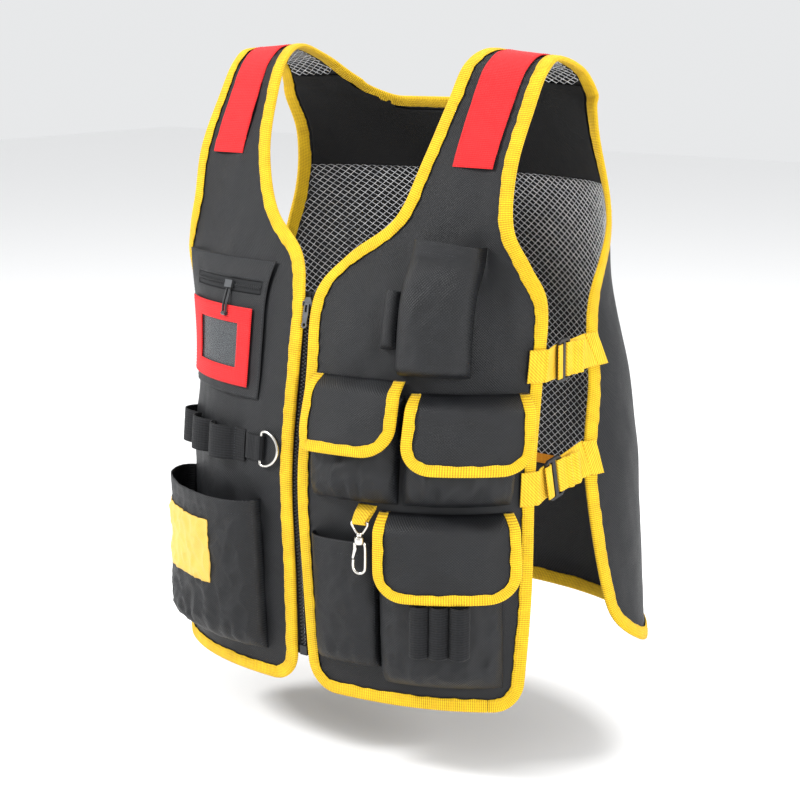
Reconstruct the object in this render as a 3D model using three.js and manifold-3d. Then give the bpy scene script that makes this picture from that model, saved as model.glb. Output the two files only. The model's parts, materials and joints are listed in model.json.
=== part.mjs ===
// A sleeveless work vest of black woven cloth, bound all round with yellow tape, held in its worn form.
// It has a zip at the front, a net lining inside the back, pockets and flaps on both fronts,
// and two yellow straps with sliders that close each side.
// Millimetres, +Z up, the front faces -Y, +X is the wearer's left, the origin is at the shoulder line.
import * as THREE from 'three';
import { mergeVertices } from 'three/addons/utils/BufferGeometryUtils.js';
import Module from 'manifold-3d';

const wasm = await Module();
wasm.setup();

// Driving sizes
const clothWall = 1.6;
const clothFace = clothWall / 2;
const gap = 0.3;
const sit = clothFace + 0.5;
const bindingWidth = 11;
const bindingOuter = 2.4;
const bindingInner = 1.5;
const shoulderDrop = 13;
const turnReach = 260;
const turnPower = 1.6;
const neckHalf = 55;
const hemCornerInner = 28;
const hemCornerOuter = 24;
const backCorner = 45;
const webWidth = 30;
const webWall = 1.4;

// One row for each level of the cloth, from the front hem over the shoulder to the back hem.
// y, z: the centre line; turn: how many degrees the cloth has turned at turnReach from the centre,
// above 0 where its edges go back and below 0 where they come forward;
// inner, outer: the cloth's two edges, measured along the cloth from the centre line.
const levels = [
  { y: -133, z: -570, turn: 63, inner: 9, outer: 212 },
  { y: -139, z: -469, turn: 74, inner: 6, outer: 223 },
  { y: -144, z: -371, turn: 83, inner: 5, outer: 229 },
  { y: -132, z: -281, turn: 80, inner: 6, outer: 227 },
  { y: -121, z: -211, turn: 64, inner: 7, outer: 224 },
  { y: -100, z: -175, turn: 42, inner: 28, outer: 201 },
  { y: -86, z: -141, turn: 22, inner: 69, outer: 183 },
  { y: -73, z: -90, turn: 16, inner: 89, outer: 180 },
  { y: -52, z: -38, turn: 23, inner: 99, outer: 180 },
  { y: -32, z: -1, turn: 24, inner: 103, outer: 180 },
  { y: 0, z: 13, turn: 8, inner: 108, outer: 179 },
  { y: 43, z: 0, turn: 3, inner: 112, outer: 177 },
  { y: 70, z: -27, turn: -13, inner: 90, outer: 182 },
  { y: 91, z: -46, turn: -41, inner: neckHalf, outer: 184 },
  { y: 125, z: -87, turn: -67, inner: neckHalf, outer: 188 },
  { y: 161, z: -144, turn: -85, inner: neckHalf, outer: 212 },
  { y: 188, z: -214, turn: -97, inner: neckHalf, outer: 256 },
  { y: 204, z: -294, turn: -87, inner: neckHalf, outer: 295 },
  { y: 208, z: -376, turn: -77, inner: neckHalf, outer: 331 },
  { y: 210, z: -495, turn: -72, inner: neckHalf, outer: 322 },
  { y: 191, z: -538, turn: -61, inner: neckHalf, outer: 304 },
];
const shoulderLevel = 10;
const neckStart = 12;
const neckFloor = 13;
const lastLevel = levels.length - 1;

// The row between two rows of the table, on a smooth curve through all of them
function levelAt(u) {
  const place = Math.min(Math.max(u, 0), lastLevel - 1e-9);
  const i = Math.floor(place);
  const t = place - i;
  const row = {};
  for (const key of ['y', 'z', 'turn', 'inner', 'outer']) {
    const b = levels[i][key];
    const c = levels[i + 1][key];
    const a = i === 0 ? 2 * b - c : levels[i - 1][key];
    const d = i === lastLevel - 1 ? 2 * c - b : levels[i + 2][key];
    const bend = (2 * a - 5 * b + 4 * c - d) * t * t + (3 * b - a - 3 * c + d) * t ** 3;
    row[key] = 0.5 * (2 * b + (c - a) * t + bend);
  }
  return row;
}

// How far along the centre line each small step of u lies, so that the cloth is laid out in millimetres
const pathSteps = 1000;
const pathLength = [0];
for (let i = 1; i <= pathSteps; i++) {
  const before = levelAt((i - 1) / pathSteps * lastLevel);
  const after = levelAt(i / pathSteps * lastLevel);
  pathLength.push(pathLength[i - 1] + Math.hypot(after.y - before.y, after.z - before.z));
}
const heightOf = (u) => {
  const place = u / lastLevel * pathSteps;
  const i = Math.min(Math.floor(place), pathSteps - 1);
  return pathLength[i] + (pathLength[i + 1] - pathLength[i]) * (place - i);
};
const shoulderHeight = heightOf(shoulderLevel);
const hemHeight = heightOf(lastLevel);
const uAt = (p) => {
  const i = Math.max(1, Math.min(pathSteps, pathLength.findIndex((length) => length >= p)));
  const start = p >= hemHeight ? pathSteps : i;
  const share = (p - pathLength[start - 1]) / (pathLength[start] - pathLength[start - 1]);
  return (start - 1 + Math.min(share, 1)) / pathSteps * lastLevel;
};

// The middle of the cloth at height p along the path and at width s, where s below 0 is the wearer's right.
// Past either hem it runs straight on.
function surface(p, s) {
  const inside = Math.min(Math.max(p, 0), hemHeight);
  if (p !== inside) {
    const before = surface(inside - Math.sign(p - inside) * 2, s);
    const edge = surface(inside, s);
    return edge.clone().addScaledVector(edge.clone().sub(before), Math.abs(p - inside) / 2);
  }
  const u = uAt(p);
  const row = levelAt(u);
  const steps = 10;
  let x = 0;
  let y = 0;
  for (let i = 0; i < steps; i++) {
    const reach = (i + 0.5) / steps * Math.abs(s) / turnReach;
    const turned = THREE.MathUtils.degToRad(row.turn) * reach ** turnPower;
    x += Math.cos(turned) * Math.abs(s) / steps;
    y += Math.sin(turned) * Math.abs(s) / steps;
  }
  const drop = shoulderDrop * Math.exp(-(((u - shoulderLevel) / 2.2) ** 2)) * Math.abs(s) / 150;
  return new THREE.Vector3(Math.sign(s) * x, row.y + y, row.z - drop);
}

// A point that lies h outside the middle of the cloth
function cloth(p, s, h) {
  const step = 1;
  const along = surface(p + step, s).sub(surface(p - step, s));
  const across = surface(p, s + step).sub(surface(p, s - step));
  const out = across.cross(along).normalize();
  return surface(p, s).addScaledVector(out, h);
}

// A frame on the cloth: x across it to the wearer's left, y up along it, z outwards
function frameOn(p, s, h) {
  const x = cloth(p, s + 1, h).sub(cloth(p, s - 1, h)).normalize();
  const along = cloth(p + 1, s, h).sub(cloth(p - 1, s, h)).normalize();
  const z = x.clone().cross(along).normalize();
  const y = z.clone().cross(x);
  return new THREE.Matrix4().makeBasis(x, y, z).setPosition(cloth(p, s, h));
}

// Closed bodies from points and faces
function closedBody(points, faces) {
  const loose = new THREE.BufferGeometry();
  loose.setAttribute('position', new THREE.Float32BufferAttribute(faces.flatMap((k) => points[k].toArray()), 3));
  const body = mergeVertices(loose, 1e-4);
  const place = body.attributes.position;
  const corner = [0, 1, 2].map(() => new THREE.Vector3());
  let volume = 0;
  for (let i = 0; i < body.index.count; i += 3) {
    corner.forEach((v, k) => v.fromBufferAttribute(place, body.index.getX(i + k)));
    volume += corner[0].dot(corner[1].clone().cross(corner[2]));
  }
  if (volume < 0) {
    const turned = Array.from(body.index.array);
    for (let i = 0; i < turned.length; i += 3) {
      [turned[i], turned[i + 1]] = [turned[i + 1], turned[i]];
    }
    body.setIndex(turned);
  }
  return body;
}

// A wall whose outer and inner faces are given on one grid; cells that aren't kept are left open
function wallOf(rows, columns, outer, inner, keep = () => true) {
  const points = [];
  for (const face of [outer, inner]) {
    for (let i = 0; i <= rows; i++) {
      for (let j = 0; j <= columns; j++) points.push(face(i, j));
    }
  }
  const id = (face, i, j) => (face * (rows + 1) + i) * (columns + 1) + j;
  const faces = [];
  const quad = (a, b, c, d) => faces.push(a, b, c, a, c, d);
  // Both faces of a cell are split along the outer face's shorter diagonal
  const cell = (turn, a, b, c, d) => (turn ? quad(b, c, d, a) : quad(a, b, c, d));
  const kept = (i, j) => i >= 0 && j >= 0 && i < rows && j < columns && keep(i, j);
  for (let i = 0; i < rows; i++) {
    for (let j = 0; j < columns; j++) {
      if (!kept(i, j)) continue;
      const first = points[id(0, i, j)].distanceTo(points[id(0, i + 1, j + 1)]);
      const turn = first > points[id(0, i, j + 1)].distanceTo(points[id(0, i + 1, j)]) + 1e-3;
      cell(turn, id(0, i, j), id(0, i, j + 1), id(0, i + 1, j + 1), id(0, i + 1, j));
      cell(turn, id(1, i, j), id(1, i + 1, j), id(1, i + 1, j + 1), id(1, i, j + 1));
      if (!kept(i - 1, j)) quad(id(0, i, j), id(1, i, j), id(1, i, j + 1), id(0, i, j + 1));
      if (!kept(i + 1, j)) quad(id(0, i + 1, j + 1), id(1, i + 1, j + 1), id(1, i + 1, j), id(0, i + 1, j));
      if (!kept(i, j - 1)) quad(id(0, i + 1, j), id(1, i + 1, j), id(1, i, j), id(0, i, j));
      if (!kept(i, j + 1)) quad(id(0, i, j + 1), id(1, i, j + 1), id(1, i + 1, j + 1), id(0, i + 1, j + 1));
    }
  }
  return closedBody(points, faces);
}

// A body swept through rings of points; caps are the triangles that close its two ends
function sweep(rings, caps) {
  const count = rings[0].length;
  const faces = [];
  const last = caps ? rings.length - 1 : rings.length;
  for (let i = 0; i < last; i++) {
    const next = (i + 1) % rings.length;
    for (let k = 0; k < count; k++) {
      const beside = (k + 1) % count;
      const [a, b, c, d] = [i * count + k, i * count + beside, next * count + beside, next * count + k];
      const [from, to] = [rings[i], rings[next]];
      const turn = from[k].distanceTo(to[beside]) > from[beside].distanceTo(to[k]) + 1e-3;
      if (turn) faces.push(b, c, d, b, d, a);
      else faces.push(a, b, c, a, c, d);
    }
  }
  for (const [a, b, c] of caps ?? []) {
    faces.push(a, c, b);
    const end = (rings.length - 1) * count;
    faces.push(end + a, end + b, end + c);
  }
  return closedBody(rings.flat(), faces);
}
const ribbonCaps = [[0, 1, 2], [0, 2, 3]];
const bindingCaps = [[0, 1, 2], [0, 2, 7], [7, 2, 3], [7, 3, 6], [6, 3, 4], [6, 4, 5]];

// Bodies joined into one
function solidOf(geometry) {
  const plain = geometry.index ? geometry.toNonIndexed() : geometry.clone();
  plain.deleteAttribute('normal');
  plain.deleteAttribute('uv');
  const merged = mergeVertices(plain, 1e-4);
  const vertProperties = new Float32Array(merged.attributes.position.array);
  const triVerts = new Uint32Array(merged.index.array);
  return new wasm.Manifold(new wasm.Mesh({ numProp: 3, vertProperties, triVerts }));
}
function join(...geometries) {
  const whole = geometries.map(solidOf).reduce((sum, next) => sum.add(next));
  const mesh = whole.getMesh();
  const joined = new THREE.BufferGeometry();
  joined.setAttribute('position', new THREE.BufferAttribute(mesh.vertProperties, 3));
  joined.setIndex(new THREE.BufferAttribute(mesh.triVerts, 1));
  return joined;
}

// Finishes
const finish = (color, roughness, metalness = 0) => new THREE.MeshStandardMaterial({ color, roughness, metalness });
const blackCloth = finish(0x26292c, 0.85);
const netCloth = finish(0x55585c, 0.9);
const yellowTape = finish(0xf0cc36, 0.8);
const yellowWebbing = finish(0xf4d245, 0.75);
const redTape = finish(0xee3435, 0.8);
const orangeTape = finish(0xe0a020, 0.8);
const zipBlack = finish(0x1a1b1d, 0.6);
const elasticBlack = finish(0x1b1c1f, 0.9);
const clearPlastic = finish(0xc8cdd0, 0.15);
const plainLabel = finish(0xfde174, 0.6);
const steel = finish(0xc9c6c0, 0.25, 1);
const gunmetal = finish(0x6c6e70, 0.35, 1);
const blackPlastic = finish(0x141517, 0.45);

const vest = new THREE.Group();
function add(name, geometry, material, frame) {
  const mesh = new THREE.Mesh(geometry, material);
  mesh.name = name;
  if (frame) frame.decompose(mesh.position, mesh.quaternion, mesh.scale);
  vest.add(mesh);
  return mesh;
}
const sides = [{ side: 'left', sign: 1 }, { side: 'right', sign: -1 }];

// Edges of the cloth, with round corners at the hems and a flat-bottomed neck
const cornerInset = (radius, fromHem) => {
  const depth = Math.min(Math.max(radius - fromHem, 0), radius);
  return radius - Math.sqrt(radius * radius - depth * depth);
};
const innerEdge = (p) => {
  const u = uAt(p);
  const inner = levelAt(u).inner;
  if (u < neckStart) return inner + cornerInset(hemCornerInner, p);
  const t = Math.min((u - neckStart) / (neckFloor - neckStart), 1);
  return neckHalf + (levels[neckStart].inner - neckHalf) * Math.sqrt(1 - t * t);
};
const outerEdge = (p) => {
  const outer = levelAt(uAt(p)).outer;
  if (p < shoulderHeight) return outer - cornerInset(hemCornerOuter, p);
  return outer - cornerInset(backCorner, hemHeight - p);
};

// Lining levels down the back, and the rows of cloth up the front and down the back
const shoulderNetEnd = 700;
const yokeEnd = 828;
const netEnd = 1134;
const tapeEnd = 1142;
const neckFloorHeight = heightOf(neckFloor);
const liningInset = bindingWidth + 1;
const straps = [
  { name: 'upper', front: 309, back: 985 },
  { name: 'lower', front: 199, back: 1080 },
];
const frontRows = [0, 3, bindingWidth, hemCornerInner, 80, 135, 250, 363, 389, 410, 435, 470, 510, 555, 595];
frontRows.push(...straps.map((strap) => strap.front), shoulderHeight - gap / 2);
const backRows = [shoulderHeight + gap / 2, 662, shoulderNetEnd];
for (const u of [12, 12.6]) backRows.push(heightOf(u));
backRows.push(neckFloorHeight, neckFloorHeight + liningInset, 785, yokeEnd, 885, 940, 1033);
backRows.push(...straps.map((strap) => strap.back), netEnd, 1190);
for (const fromHem of [backCorner, 24, bindingWidth, 3, 0]) backRows.push(hemHeight - fromHem);
const upwards = (a, b) => a - b;
frontRows.sort(upwards);
backRows.sort(upwards);
const between = (from, to, share) => from + (to - from) * share;
// How far along a row the binding reaches from its edge: further where the edge runs across the rows at a
// slant, and to the inside of the round corner near a hem
const reachAt = (edge, p) => {
  const slope = (edge(p + 1) - edge(p - 1)) / 2;
  return bindingWidth * Math.min(Math.hypot(1, slope), 1.7);
};
const cornerReach = (radius, fromHem) => {
  const height = radius - fromHem;
  return radius - Math.sqrt(Math.max((radius - bindingWidth) ** 2 - height ** 2, 0));
};
const innerRim = (p) => {
  if (p < hemCornerInner) return levelAt(uAt(p)).inner + cornerReach(hemCornerInner, p);
  return innerEdge(p) + reachAt(innerEdge, p);
};
const outerRim = (p) => {
  if (p < hemCornerOuter) return levelAt(uAt(p)).outer - cornerReach(hemCornerOuter, p);
  if (p > hemHeight - backCorner) return levelAt(uAt(p)).outer - cornerReach(backCorner, hemHeight - p);
  return outerEdge(p) - reachAt(outerEdge, p);
};
// Columns: one at each edge, one at the inside of each binding, and the rest spread between them
const panelColumns = 7;
const columnAt = (j, p) => {
  if (j === 0) return innerEdge(p);
  if (j === 1) return innerRim(p);
  if (j === panelColumns - 1) return outerRim(p);
  if (j === panelColumns) return outerEdge(p);
  const level = levelAt(uAt(p));
  const share = 1 - (1 - (j - 1) / (panelColumns - 2)) ** 1.1;
  const place = between(level.inner + bindingWidth, level.outer - bindingWidth, share);
  const spare = 6;
  const nearest = outerRim(p) - spare * (panelColumns - 1 - j);
  return Math.min(Math.max(place, innerRim(p) + spare * (j - 1)), nearest);
};

for (const { side, sign } of sides) {
  const point = (h) => (i, j) => {
    const p = frontRows[i];
    return cloth(p, sign * columnAt(j, p), h);
  };
  const panel = wallOf(frontRows.length - 1, panelColumns, point(clothFace), point(-clothFace));
  add(`front_panel_${side}`, panel, blackCloth);
}

// The width of column j on a piece of the back that spans both sides and leaves the neck open
const backColumns = 2 * panelColumns + 2;
const acrossBack = (j, p) => {
  if (j < panelColumns) return -columnAt(panelColumns - j, p);
  if (j > panelColumns + 2) return columnAt(j - panelColumns - 2, p);
  return (j - panelColumns - 1) * innerEdge(p);
};
const belowNeck = (rows, floor) => (i, j) => {
  const middle = j === panelColumns || j === panelColumns + 1;
  return !middle || rows[i] >= floor - 1e-6;
};
{
  const point = (h) => (i, j) => cloth(backRows[i], acrossBack(j, backRows[i]), h);
  const rows = backRows.length - 1;
  const keep = belowNeck(backRows, neckFloorHeight);
  const panel = wallOf(rows, backColumns, point(clothFace), point(-clothFace), keep);
  add('back_panel', panel, blackCloth);
}

// Lining inside the back: net over the shoulders and the back, a plain yoke between them, tape at its hem.
// It shares the back's rows and columns, and stops short of the bindings.
const liningFace = -(clothFace + 0.5);
const liningWall = 1.2;
const liningEdge = (p) => {
  const start = heightOf(neckStart);
  if (p < start) return innerRim(p) + 2;
  const t = Math.min((p - start) / (neckFloorHeight + liningInset - start), 1);
  return neckHalf + (levels[neckStart].inner + liningInset + 6 - neckHalf) * Math.sqrt(1 - t * t);
};
for (const { side, sign } of sides) {
  const rows = backRows.filter((p) => p > shoulderHeight + 1 && p < shoulderNetEnd);
  rows.push(shoulderNetEnd - gap);
  const point = (h) => (i, j) => {
    const p = rows[i];
    return cloth(p, sign * between(liningEdge(p), outerEdge(p) - liningInset, j / 2), h);
  };
  const net = wallOf(rows.length - 1, 2, point(liningFace), point(liningFace - liningWall));
  add(`shoulder_net_${side}`, net, netCloth);
}
function lining(name, from, to, material) {
  const rows = [from, ...backRows.filter((p) => p > from && p < to), to - gap];
  const across = (i, j) => {
    const p = rows[i];
    const beside = Math.abs(j - panelColumns - 1) - 1;
    const way = Math.sign(j - panelColumns - 1);
    if (beside <= 0) return way * liningEdge(p);
    if (beside === panelColumns - 1) return way * (outerRim(p) - 1);
    return way * Math.max(columnAt(beside, p), liningEdge(p) + beside);
  };
  const point = (h) => (i, j) => cloth(rows[i], across(i, j + 1), h);
  const keep = (i, j) => belowNeck(rows, neckFloorHeight + liningInset)(i, j + 1);
  const outer = point(liningFace);
  add(name, wallOf(rows.length - 1, backColumns - 2, outer, point(liningFace - liningWall), keep), material);
}
lining('yoke_facing', shoulderNetEnd, yokeEnd, blackCloth);
lining('back_net', yokeEnd, netEnd, netCloth);
lining('net_hem_tape', netEnd, tapeEnd, orangeTape);

// Tape folded over an edge. stations: [p, s] along the edge, and [p, s] of the tape's inner rim where it
// follows a row or column; into: which side of the travel the cloth lies on elsewhere.
// lift gives the height of the cloth's middle, for flaps that stand off the panel.
function binding(stations, into, width, lift = () => 0) {
  const section = [
    [width, bindingInner], [width, bindingOuter], [-0.9, bindingOuter - 0.3], [-0.9, 0.3 - bindingOuter],
    [width, -bindingOuter], [width, -bindingInner], [-0.4, -bindingInner], [-0.4, bindingInner],
  ];
  const rings = stations.map(([p, s, rimP, rimS], i) => {
    const [p0, s0] = stations[Math.max(i - 1, 0)];
    const [p1, s1] = stations[Math.min(i + 1, stations.length - 1)];
    const length = Math.hypot(p1 - p0, s1 - s0);
    const square = [-(s1 - s0) / length * into, (p1 - p0) / length * into];
    const inward = rimP === undefined ? square : [(rimP - p) / width, (rimS - s) / width];
    return section.map(([reach, h]) => {
      const place = [p + inward[0] * reach, s + inward[1] * reach];
      return cloth(place[0], place[1], lift(place[0], place[1]) + h);
    });
  });
  return sweep(rings, bindingCaps);
}
// Both fronts' hems and inner edges and the back neck are bound by one tape
const hemJoin = outerEdge(0) - 5;
const backHemJoin = outerEdge(hemHeight) - 5;
{
  const hemOf = (sign) => {
    const stations = [[0, sign * (hemJoin - gap)]];
    for (let j = panelColumns - 2; j > 1; j--) {
      stations.push([0, sign * columnAt(j, 0), bindingWidth, sign * columnAt(j, bindingWidth)]);
    }
    return stations;
  };
  const rows = [...frontRows, ...backRows.filter((p) => p < neckFloorHeight + 1)];
  const edgeOf = (sign) => rows.map((p) => {
    const edge = [p, sign * innerEdge(p)];
    const rim = Math.max(p, bindingWidth);
    return p > heightOf(neckStart) + 1 ? edge : [...edge, rim, sign * innerRim(rim)];
  });
  const oneSide = (sign) => [...hemOf(sign), ...edgeOf(sign)];
  const stations = [...oneSide(1), [neckFloorHeight, 0], ...oneSide(-1).reverse()];
  add('neck_binding', binding(stations, 1, bindingWidth), yellowTape);
}
// Each side's binding runs from the front hem round the armhole to the back hem
for (const { side, sign } of sides) {
  const stations = [...frontRows, ...backRows].map((p) => {
    const rim = Math.min(Math.max(p, bindingWidth), hemHeight - bindingWidth);
    return [p, sign * outerEdge(p), rim, sign * outerRim(rim)];
  });
  stations.unshift([0, sign * hemJoin]);
  stations.push([hemHeight, sign * backHemJoin]);
  add(`side_binding_${side}`, binding(stations, -sign, bindingWidth), yellowTape);
}
{
  const stations = [[hemHeight, gap - backHemJoin]];
  const rim = hemHeight - bindingWidth;
  for (let j = 2; j < backColumns - 1; j++) {
    stations.push([hemHeight, acrossBack(j, hemHeight), rim, acrossBack(j, rim)]);
  }
  stations.push([hemHeight, backHemJoin - gap]);
  add('back_hem_binding', binding(stations, 1, bindingWidth), yellowTape);
}

// Red woven tape over each shoulder
const stripFoot = 490;
const stripEnd = 690;
for (const { side, sign } of sides) {
  const rows = [stripFoot, ...[...frontRows, ...backRows].filter((p) => p > stripFoot && p < stripEnd), stripEnd];
  const middle = (p) => 140 + (p - stripFoot) * 0.028;
  const point = (h) => (i, j) => cloth(rows[i], sign * (middle(rows[i]) + (j - 1) * 19.5), h);
  const strip = wallOf(rows.length - 1, 2, point(sit + 1.2), point(sit));
  add(`shoulder_strip_${side}`, strip, redTape);
}

// Front zip: a tape along each front, the closed chain between them, its slider, pull and bottom box
const zipBottom = 28;
const zipTop = 366;
const sliderLength = 13;
const sliderFoot = zipTop - sliderLength - 6;
const tapeOuter = -(bindingOuter + 0.5);
const tapeWall = 1;
const rowsFrom = (from, to) => [from, ...frontRows.filter((p) => p > from + 1 && p < to - 1), to];
const zipRows = rowsFrom(zipBottom, zipTop);
for (const { side, sign } of sides) {
  const point = (h) => (i, j) => cloth(zipRows[i], sign * between(gap, 16, j), h);
  add(`zip_tape_${side}`, wallOf(zipRows.length - 1, 1, point(tapeOuter), point(tapeOuter - tapeWall)), zipBlack);
}
{
  const rows = rowsFrom(zipBottom + 10, sliderFoot - gap);
  const point = (h) => (i, j) => cloth(rows[i], between(-2.8, 2.8, j), h);
  add('zip_chain', wallOf(rows.length - 1, 1, point(-0.4), point(tapeOuter + gap)), zipBlack);
  const box = new THREE.BoxGeometry(8, 9, 2.4);
  add('zip_bottom_stop', box, zipBlack, frameOn(zipBottom + 5, 0, tapeOuter + gap + 1.3));
}
const pullAxis = 2.2;
{
  const body = new THREE.Shape();
  body.moveTo(-2.6, 0);
  body.lineTo(2.6, 0);
  body.lineTo(3.9, sliderLength - 3);
  body.lineTo(2.4, sliderLength);
  body.lineTo(-2.4, sliderLength);
  body.lineTo(-3.9, sliderLength - 3);
  const plate = new THREE.ExtrudeGeometry(body, { depth: 3.4, bevelEnabled: false }).translate(0, 0, -2.2);
  const bridge = new THREE.Shape();
  bridge.moveTo(-5.2, -1.4);
  bridge.lineTo(-5.2, 2.2);
  bridge.lineTo(-4.2, 3.2);
  bridge.lineTo(4.2, 3.2);
  bridge.lineTo(5.2, 2.2);
  bridge.lineTo(5.2, -1.4);
  bridge.lineTo(4.4, -1.4);
  bridge.lineTo(4.4, 2);
  bridge.lineTo(-4.4, 2);
  bridge.lineTo(-4.4, -1.4);
  const arch = new THREE.ExtrudeGeometry(bridge, { depth: 1.6, bevelEnabled: false });
  arch.translate(0, 0, -0.8).rotateY(Math.PI / 2).rotateX(Math.PI / 2).rotateY(Math.PI / 2);
  arch.rotateZ(Math.PI / 2).translate(0, 6.5, 1.2);
  add('zip_slider', join(plate, arch), gunmetal, frameOn(sliderFoot, 0, 0));
}
// The pull hangs from the bridge and turns about a line across the zip
{
  const outline = new THREE.Shape();
  outline.moveTo(-2.6, 0.5);
  outline.lineTo(-3, -9);
  outline.lineTo(-2.2, -16);
  outline.absarc(0, -18.5, 3.1, Math.PI * 0.78, Math.PI * 2.22, false);
  outline.lineTo(3, -9);
  outline.lineTo(2.6, 0.5);
  const slot = new THREE.Path();
  slot.moveTo(-1.3, -0.6);
  slot.lineTo(1.3, -0.6);
  slot.lineTo(1.3, -7);
  slot.lineTo(-1.3, -7);
  const ring = new THREE.Path();
  ring.absarc(0, -18.5, 1.6, 0, Math.PI * 2, true);
  outline.holes.push(slot, ring);
  const pull = new THREE.ExtrudeGeometry(outline, { depth: 1, bevelEnabled: false, curveSegments: 5 });
  add('zip_pull', pull.translate(0, 0, -0.5), gunmetal, frameOn(sliderFoot + 6.5, 0, pullAxis));
}

// Chest patch on the wearer's right front, with its zip, red window frame and clear window
const patch = { left: -195, right: -49, bottom: 262, top: 389 };
const chestZip = { left: -166, right: -56, bottom: 356, top: 368 };
const frameOuter = { left: -181, right: -63, bottom: 271, top: 343 };
const windowHole = { left: -151, right: -81, bottom: 287, top: 328 };
// Widths from left to right that include the given stops and are nowhere further apart than the step
function stopsBetween(stops, step) {
  const all = [stops[0]];
  for (let k = 1; k < stops.length; k++) {
    const parts = Math.max(1, Math.ceil((stops[k] - stops[k - 1]) / step));
    for (let m = 1; m <= parts; m++) all.push(between(stops[k - 1], stops[k], m / parts));
  }
  return all;
}
// The given heights with the front's own rows between them, so that a piece on the front follows it
function rowsBetween(stops, clear = 2) {
  const own = frontRows.filter((p) => p > stops[0] && p < stops[stops.length - 1]);
  const apart = own.filter((p) => stops.every((stop) => Math.abs(stop - p) > clear));
  return [...stops, ...apart].sort((a, b) => a - b);
}
const chestColumns = stopsBetween([-195, -181, -166, -151, -81, -63, -56, -49], 24);
function sheetWithHole(area, hole, low, wall, own = []) {
  const rows = [area.bottom, ...(hole ? [hole.bottom, hole.top] : []), ...own, area.top];
  const widths = [area.left, ...chestColumns.filter((s) => s > area.left + 1 && s < area.right - 1), area.right];
  const levelsUp = rowsBetween(rows);
  const point = (h) => (i, j) => cloth(levelsUp[i], widths[j], h);
  const keep = (i, j) => {
    if (!hole) return true;
    const beside = widths[j] < hole.left - 1e-6 || widths[j] >= hole.right - 1e-6;
    return beside || levelsUp[i] < hole.bottom - 1e-6 || levelsUp[i] >= hole.top - 1e-6;
  };
  return wallOf(levelsUp.length - 1, widths.length - 1, point(low + wall), point(low), keep);
}
const windowArea = { left: windowHole.left - 6, right: windowHole.right + 6 };
Object.assign(windowArea, { bottom: windowHole.bottom - 6, top: windowHole.top + 6 });
const patchRows = [windowArea.bottom, windowArea.top];
const patchLow = sit + 0.8;
add('chest_patch', sheetWithHole(patch, chestZip, patchLow, 1.2, patchRows), blackCloth);
const zipInset = { left: chestZip.left + 0.4, right: chestZip.right - 0.4 };
Object.assign(zipInset, { bottom: chestZip.bottom + 0.4, top: chestZip.top - 0.4 });
add('chest_zip', sheetWithHole(zipInset, null, patchLow, 1.2), zipBlack);
add('id_frame', sheetWithHole(frameOuter, windowHole, patchLow + 2.5, 1.2), redTape);
add('id_window', sheetWithHole(windowArea, null, patchLow + 1.5, 0.5), clearPlastic);
{
  const chestSlider = -100;
  const body = new THREE.BoxGeometry(11, 7, 2.4);
  add('chest_zip_slider', body, zipBlack, frameOn(362, chestSlider, patchLow + 1.2 + gap + 1.3));
  // Two strands of a doubled cord hang from the slider and lie on the frame
  const strands = [-2.2, 2.2].map((x) => {
    const route = [[357.5, 4.8], [350, 6], [343, 7.8], [335, 7.6]];
    const points = route.map(([p, h]) => cloth(p, chestSlider + x, h));
    const section = new THREE.Shape();
    section.absarc(0, 0, 1.2, 0, Math.PI * 2, false);
    const extrudePath = new THREE.CatmullRomCurve3(points);
    return new THREE.ExtrudeGeometry(section, { steps: 4, extrudePath, curveSegments: 3, bevelEnabled: false });
  });
  const knot = new THREE.BoxGeometry(7, 5, 2.8).applyMatrix4(frameOn(335, chestSlider, 7.6));
  add('chest_zip_cord', join(...strands, knot), zipBlack);
}

// Pockets: each bulges off the cloth, is sewn down on three sides and open at its mouth.
// square: how boxlike the bulge is; foot: how far above its bottom seam it reaches its full depth
const pockets = {
  tool_pocket: { left: -200, right: -43, bottom: 27, mouth: 172, depth: 28, mouthDepth: 27, square: 2.7, foot: 26 },
  knife_pocket: { left: 100, right: 162, bottom: 300, mouth: 420, depth: 25, mouthDepth: 23, square: 3.6, foot: 9 },
  pen_sleeve: { left: 82, right: 97.5, bottom: 322, mouth: 371, depth: 10, mouthDepth: 10, square: 2.2, foot: 6, seat: sit },
  flap_pocket_inner: { left: 24, right: 107, bottom: 187, mouth: 281, depth: 19, mouthDepth: 9, square: 2.8, foot: 22 },
  flap_pocket_outer: { left: 113, right: 206, bottom: 187, mouth: 272, depth: 23, mouthDepth: 11, square: 2.8, foot: 24 },
  scissor_pocket: { left: 22, right: 86, bottom: 34, mouth: 153, depth: 14.4, mouthDepth: 13, square: 2.6, foot: 15 },
  cargo_pocket: { left: 90, right: 196, bottom: 22, mouth: 165, depth: 23, mouthDepth: 12, square: 2.8, foot: 26 },
};
const pocketSit = sit + 0.3;
const rise = (p, pocket) => {
  const climb = Math.min(Math.max((p - pocket.bottom) / pocket.foot, 0), 1);
  const towardsMouth = Math.min(Math.max((p - pocket.bottom - pocket.foot) / (pocket.mouth - pocket.bottom), 0), 1);
  return Math.sqrt(1 - (1 - climb) ** 2) * between(pocket.depth, pocket.mouthDepth, towardsMouth ** 1.5);
};
const bulge = (p, s, pocket) => {
  const x = Math.min(Math.abs((2 * s - pocket.left - pocket.right) / (pocket.right - pocket.left)), 1);
  return (pocket.seat ?? pocketSit) + rise(p, pocket) * (1 - x ** pocket.square) ** (1 / pocket.square);
};
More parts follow.
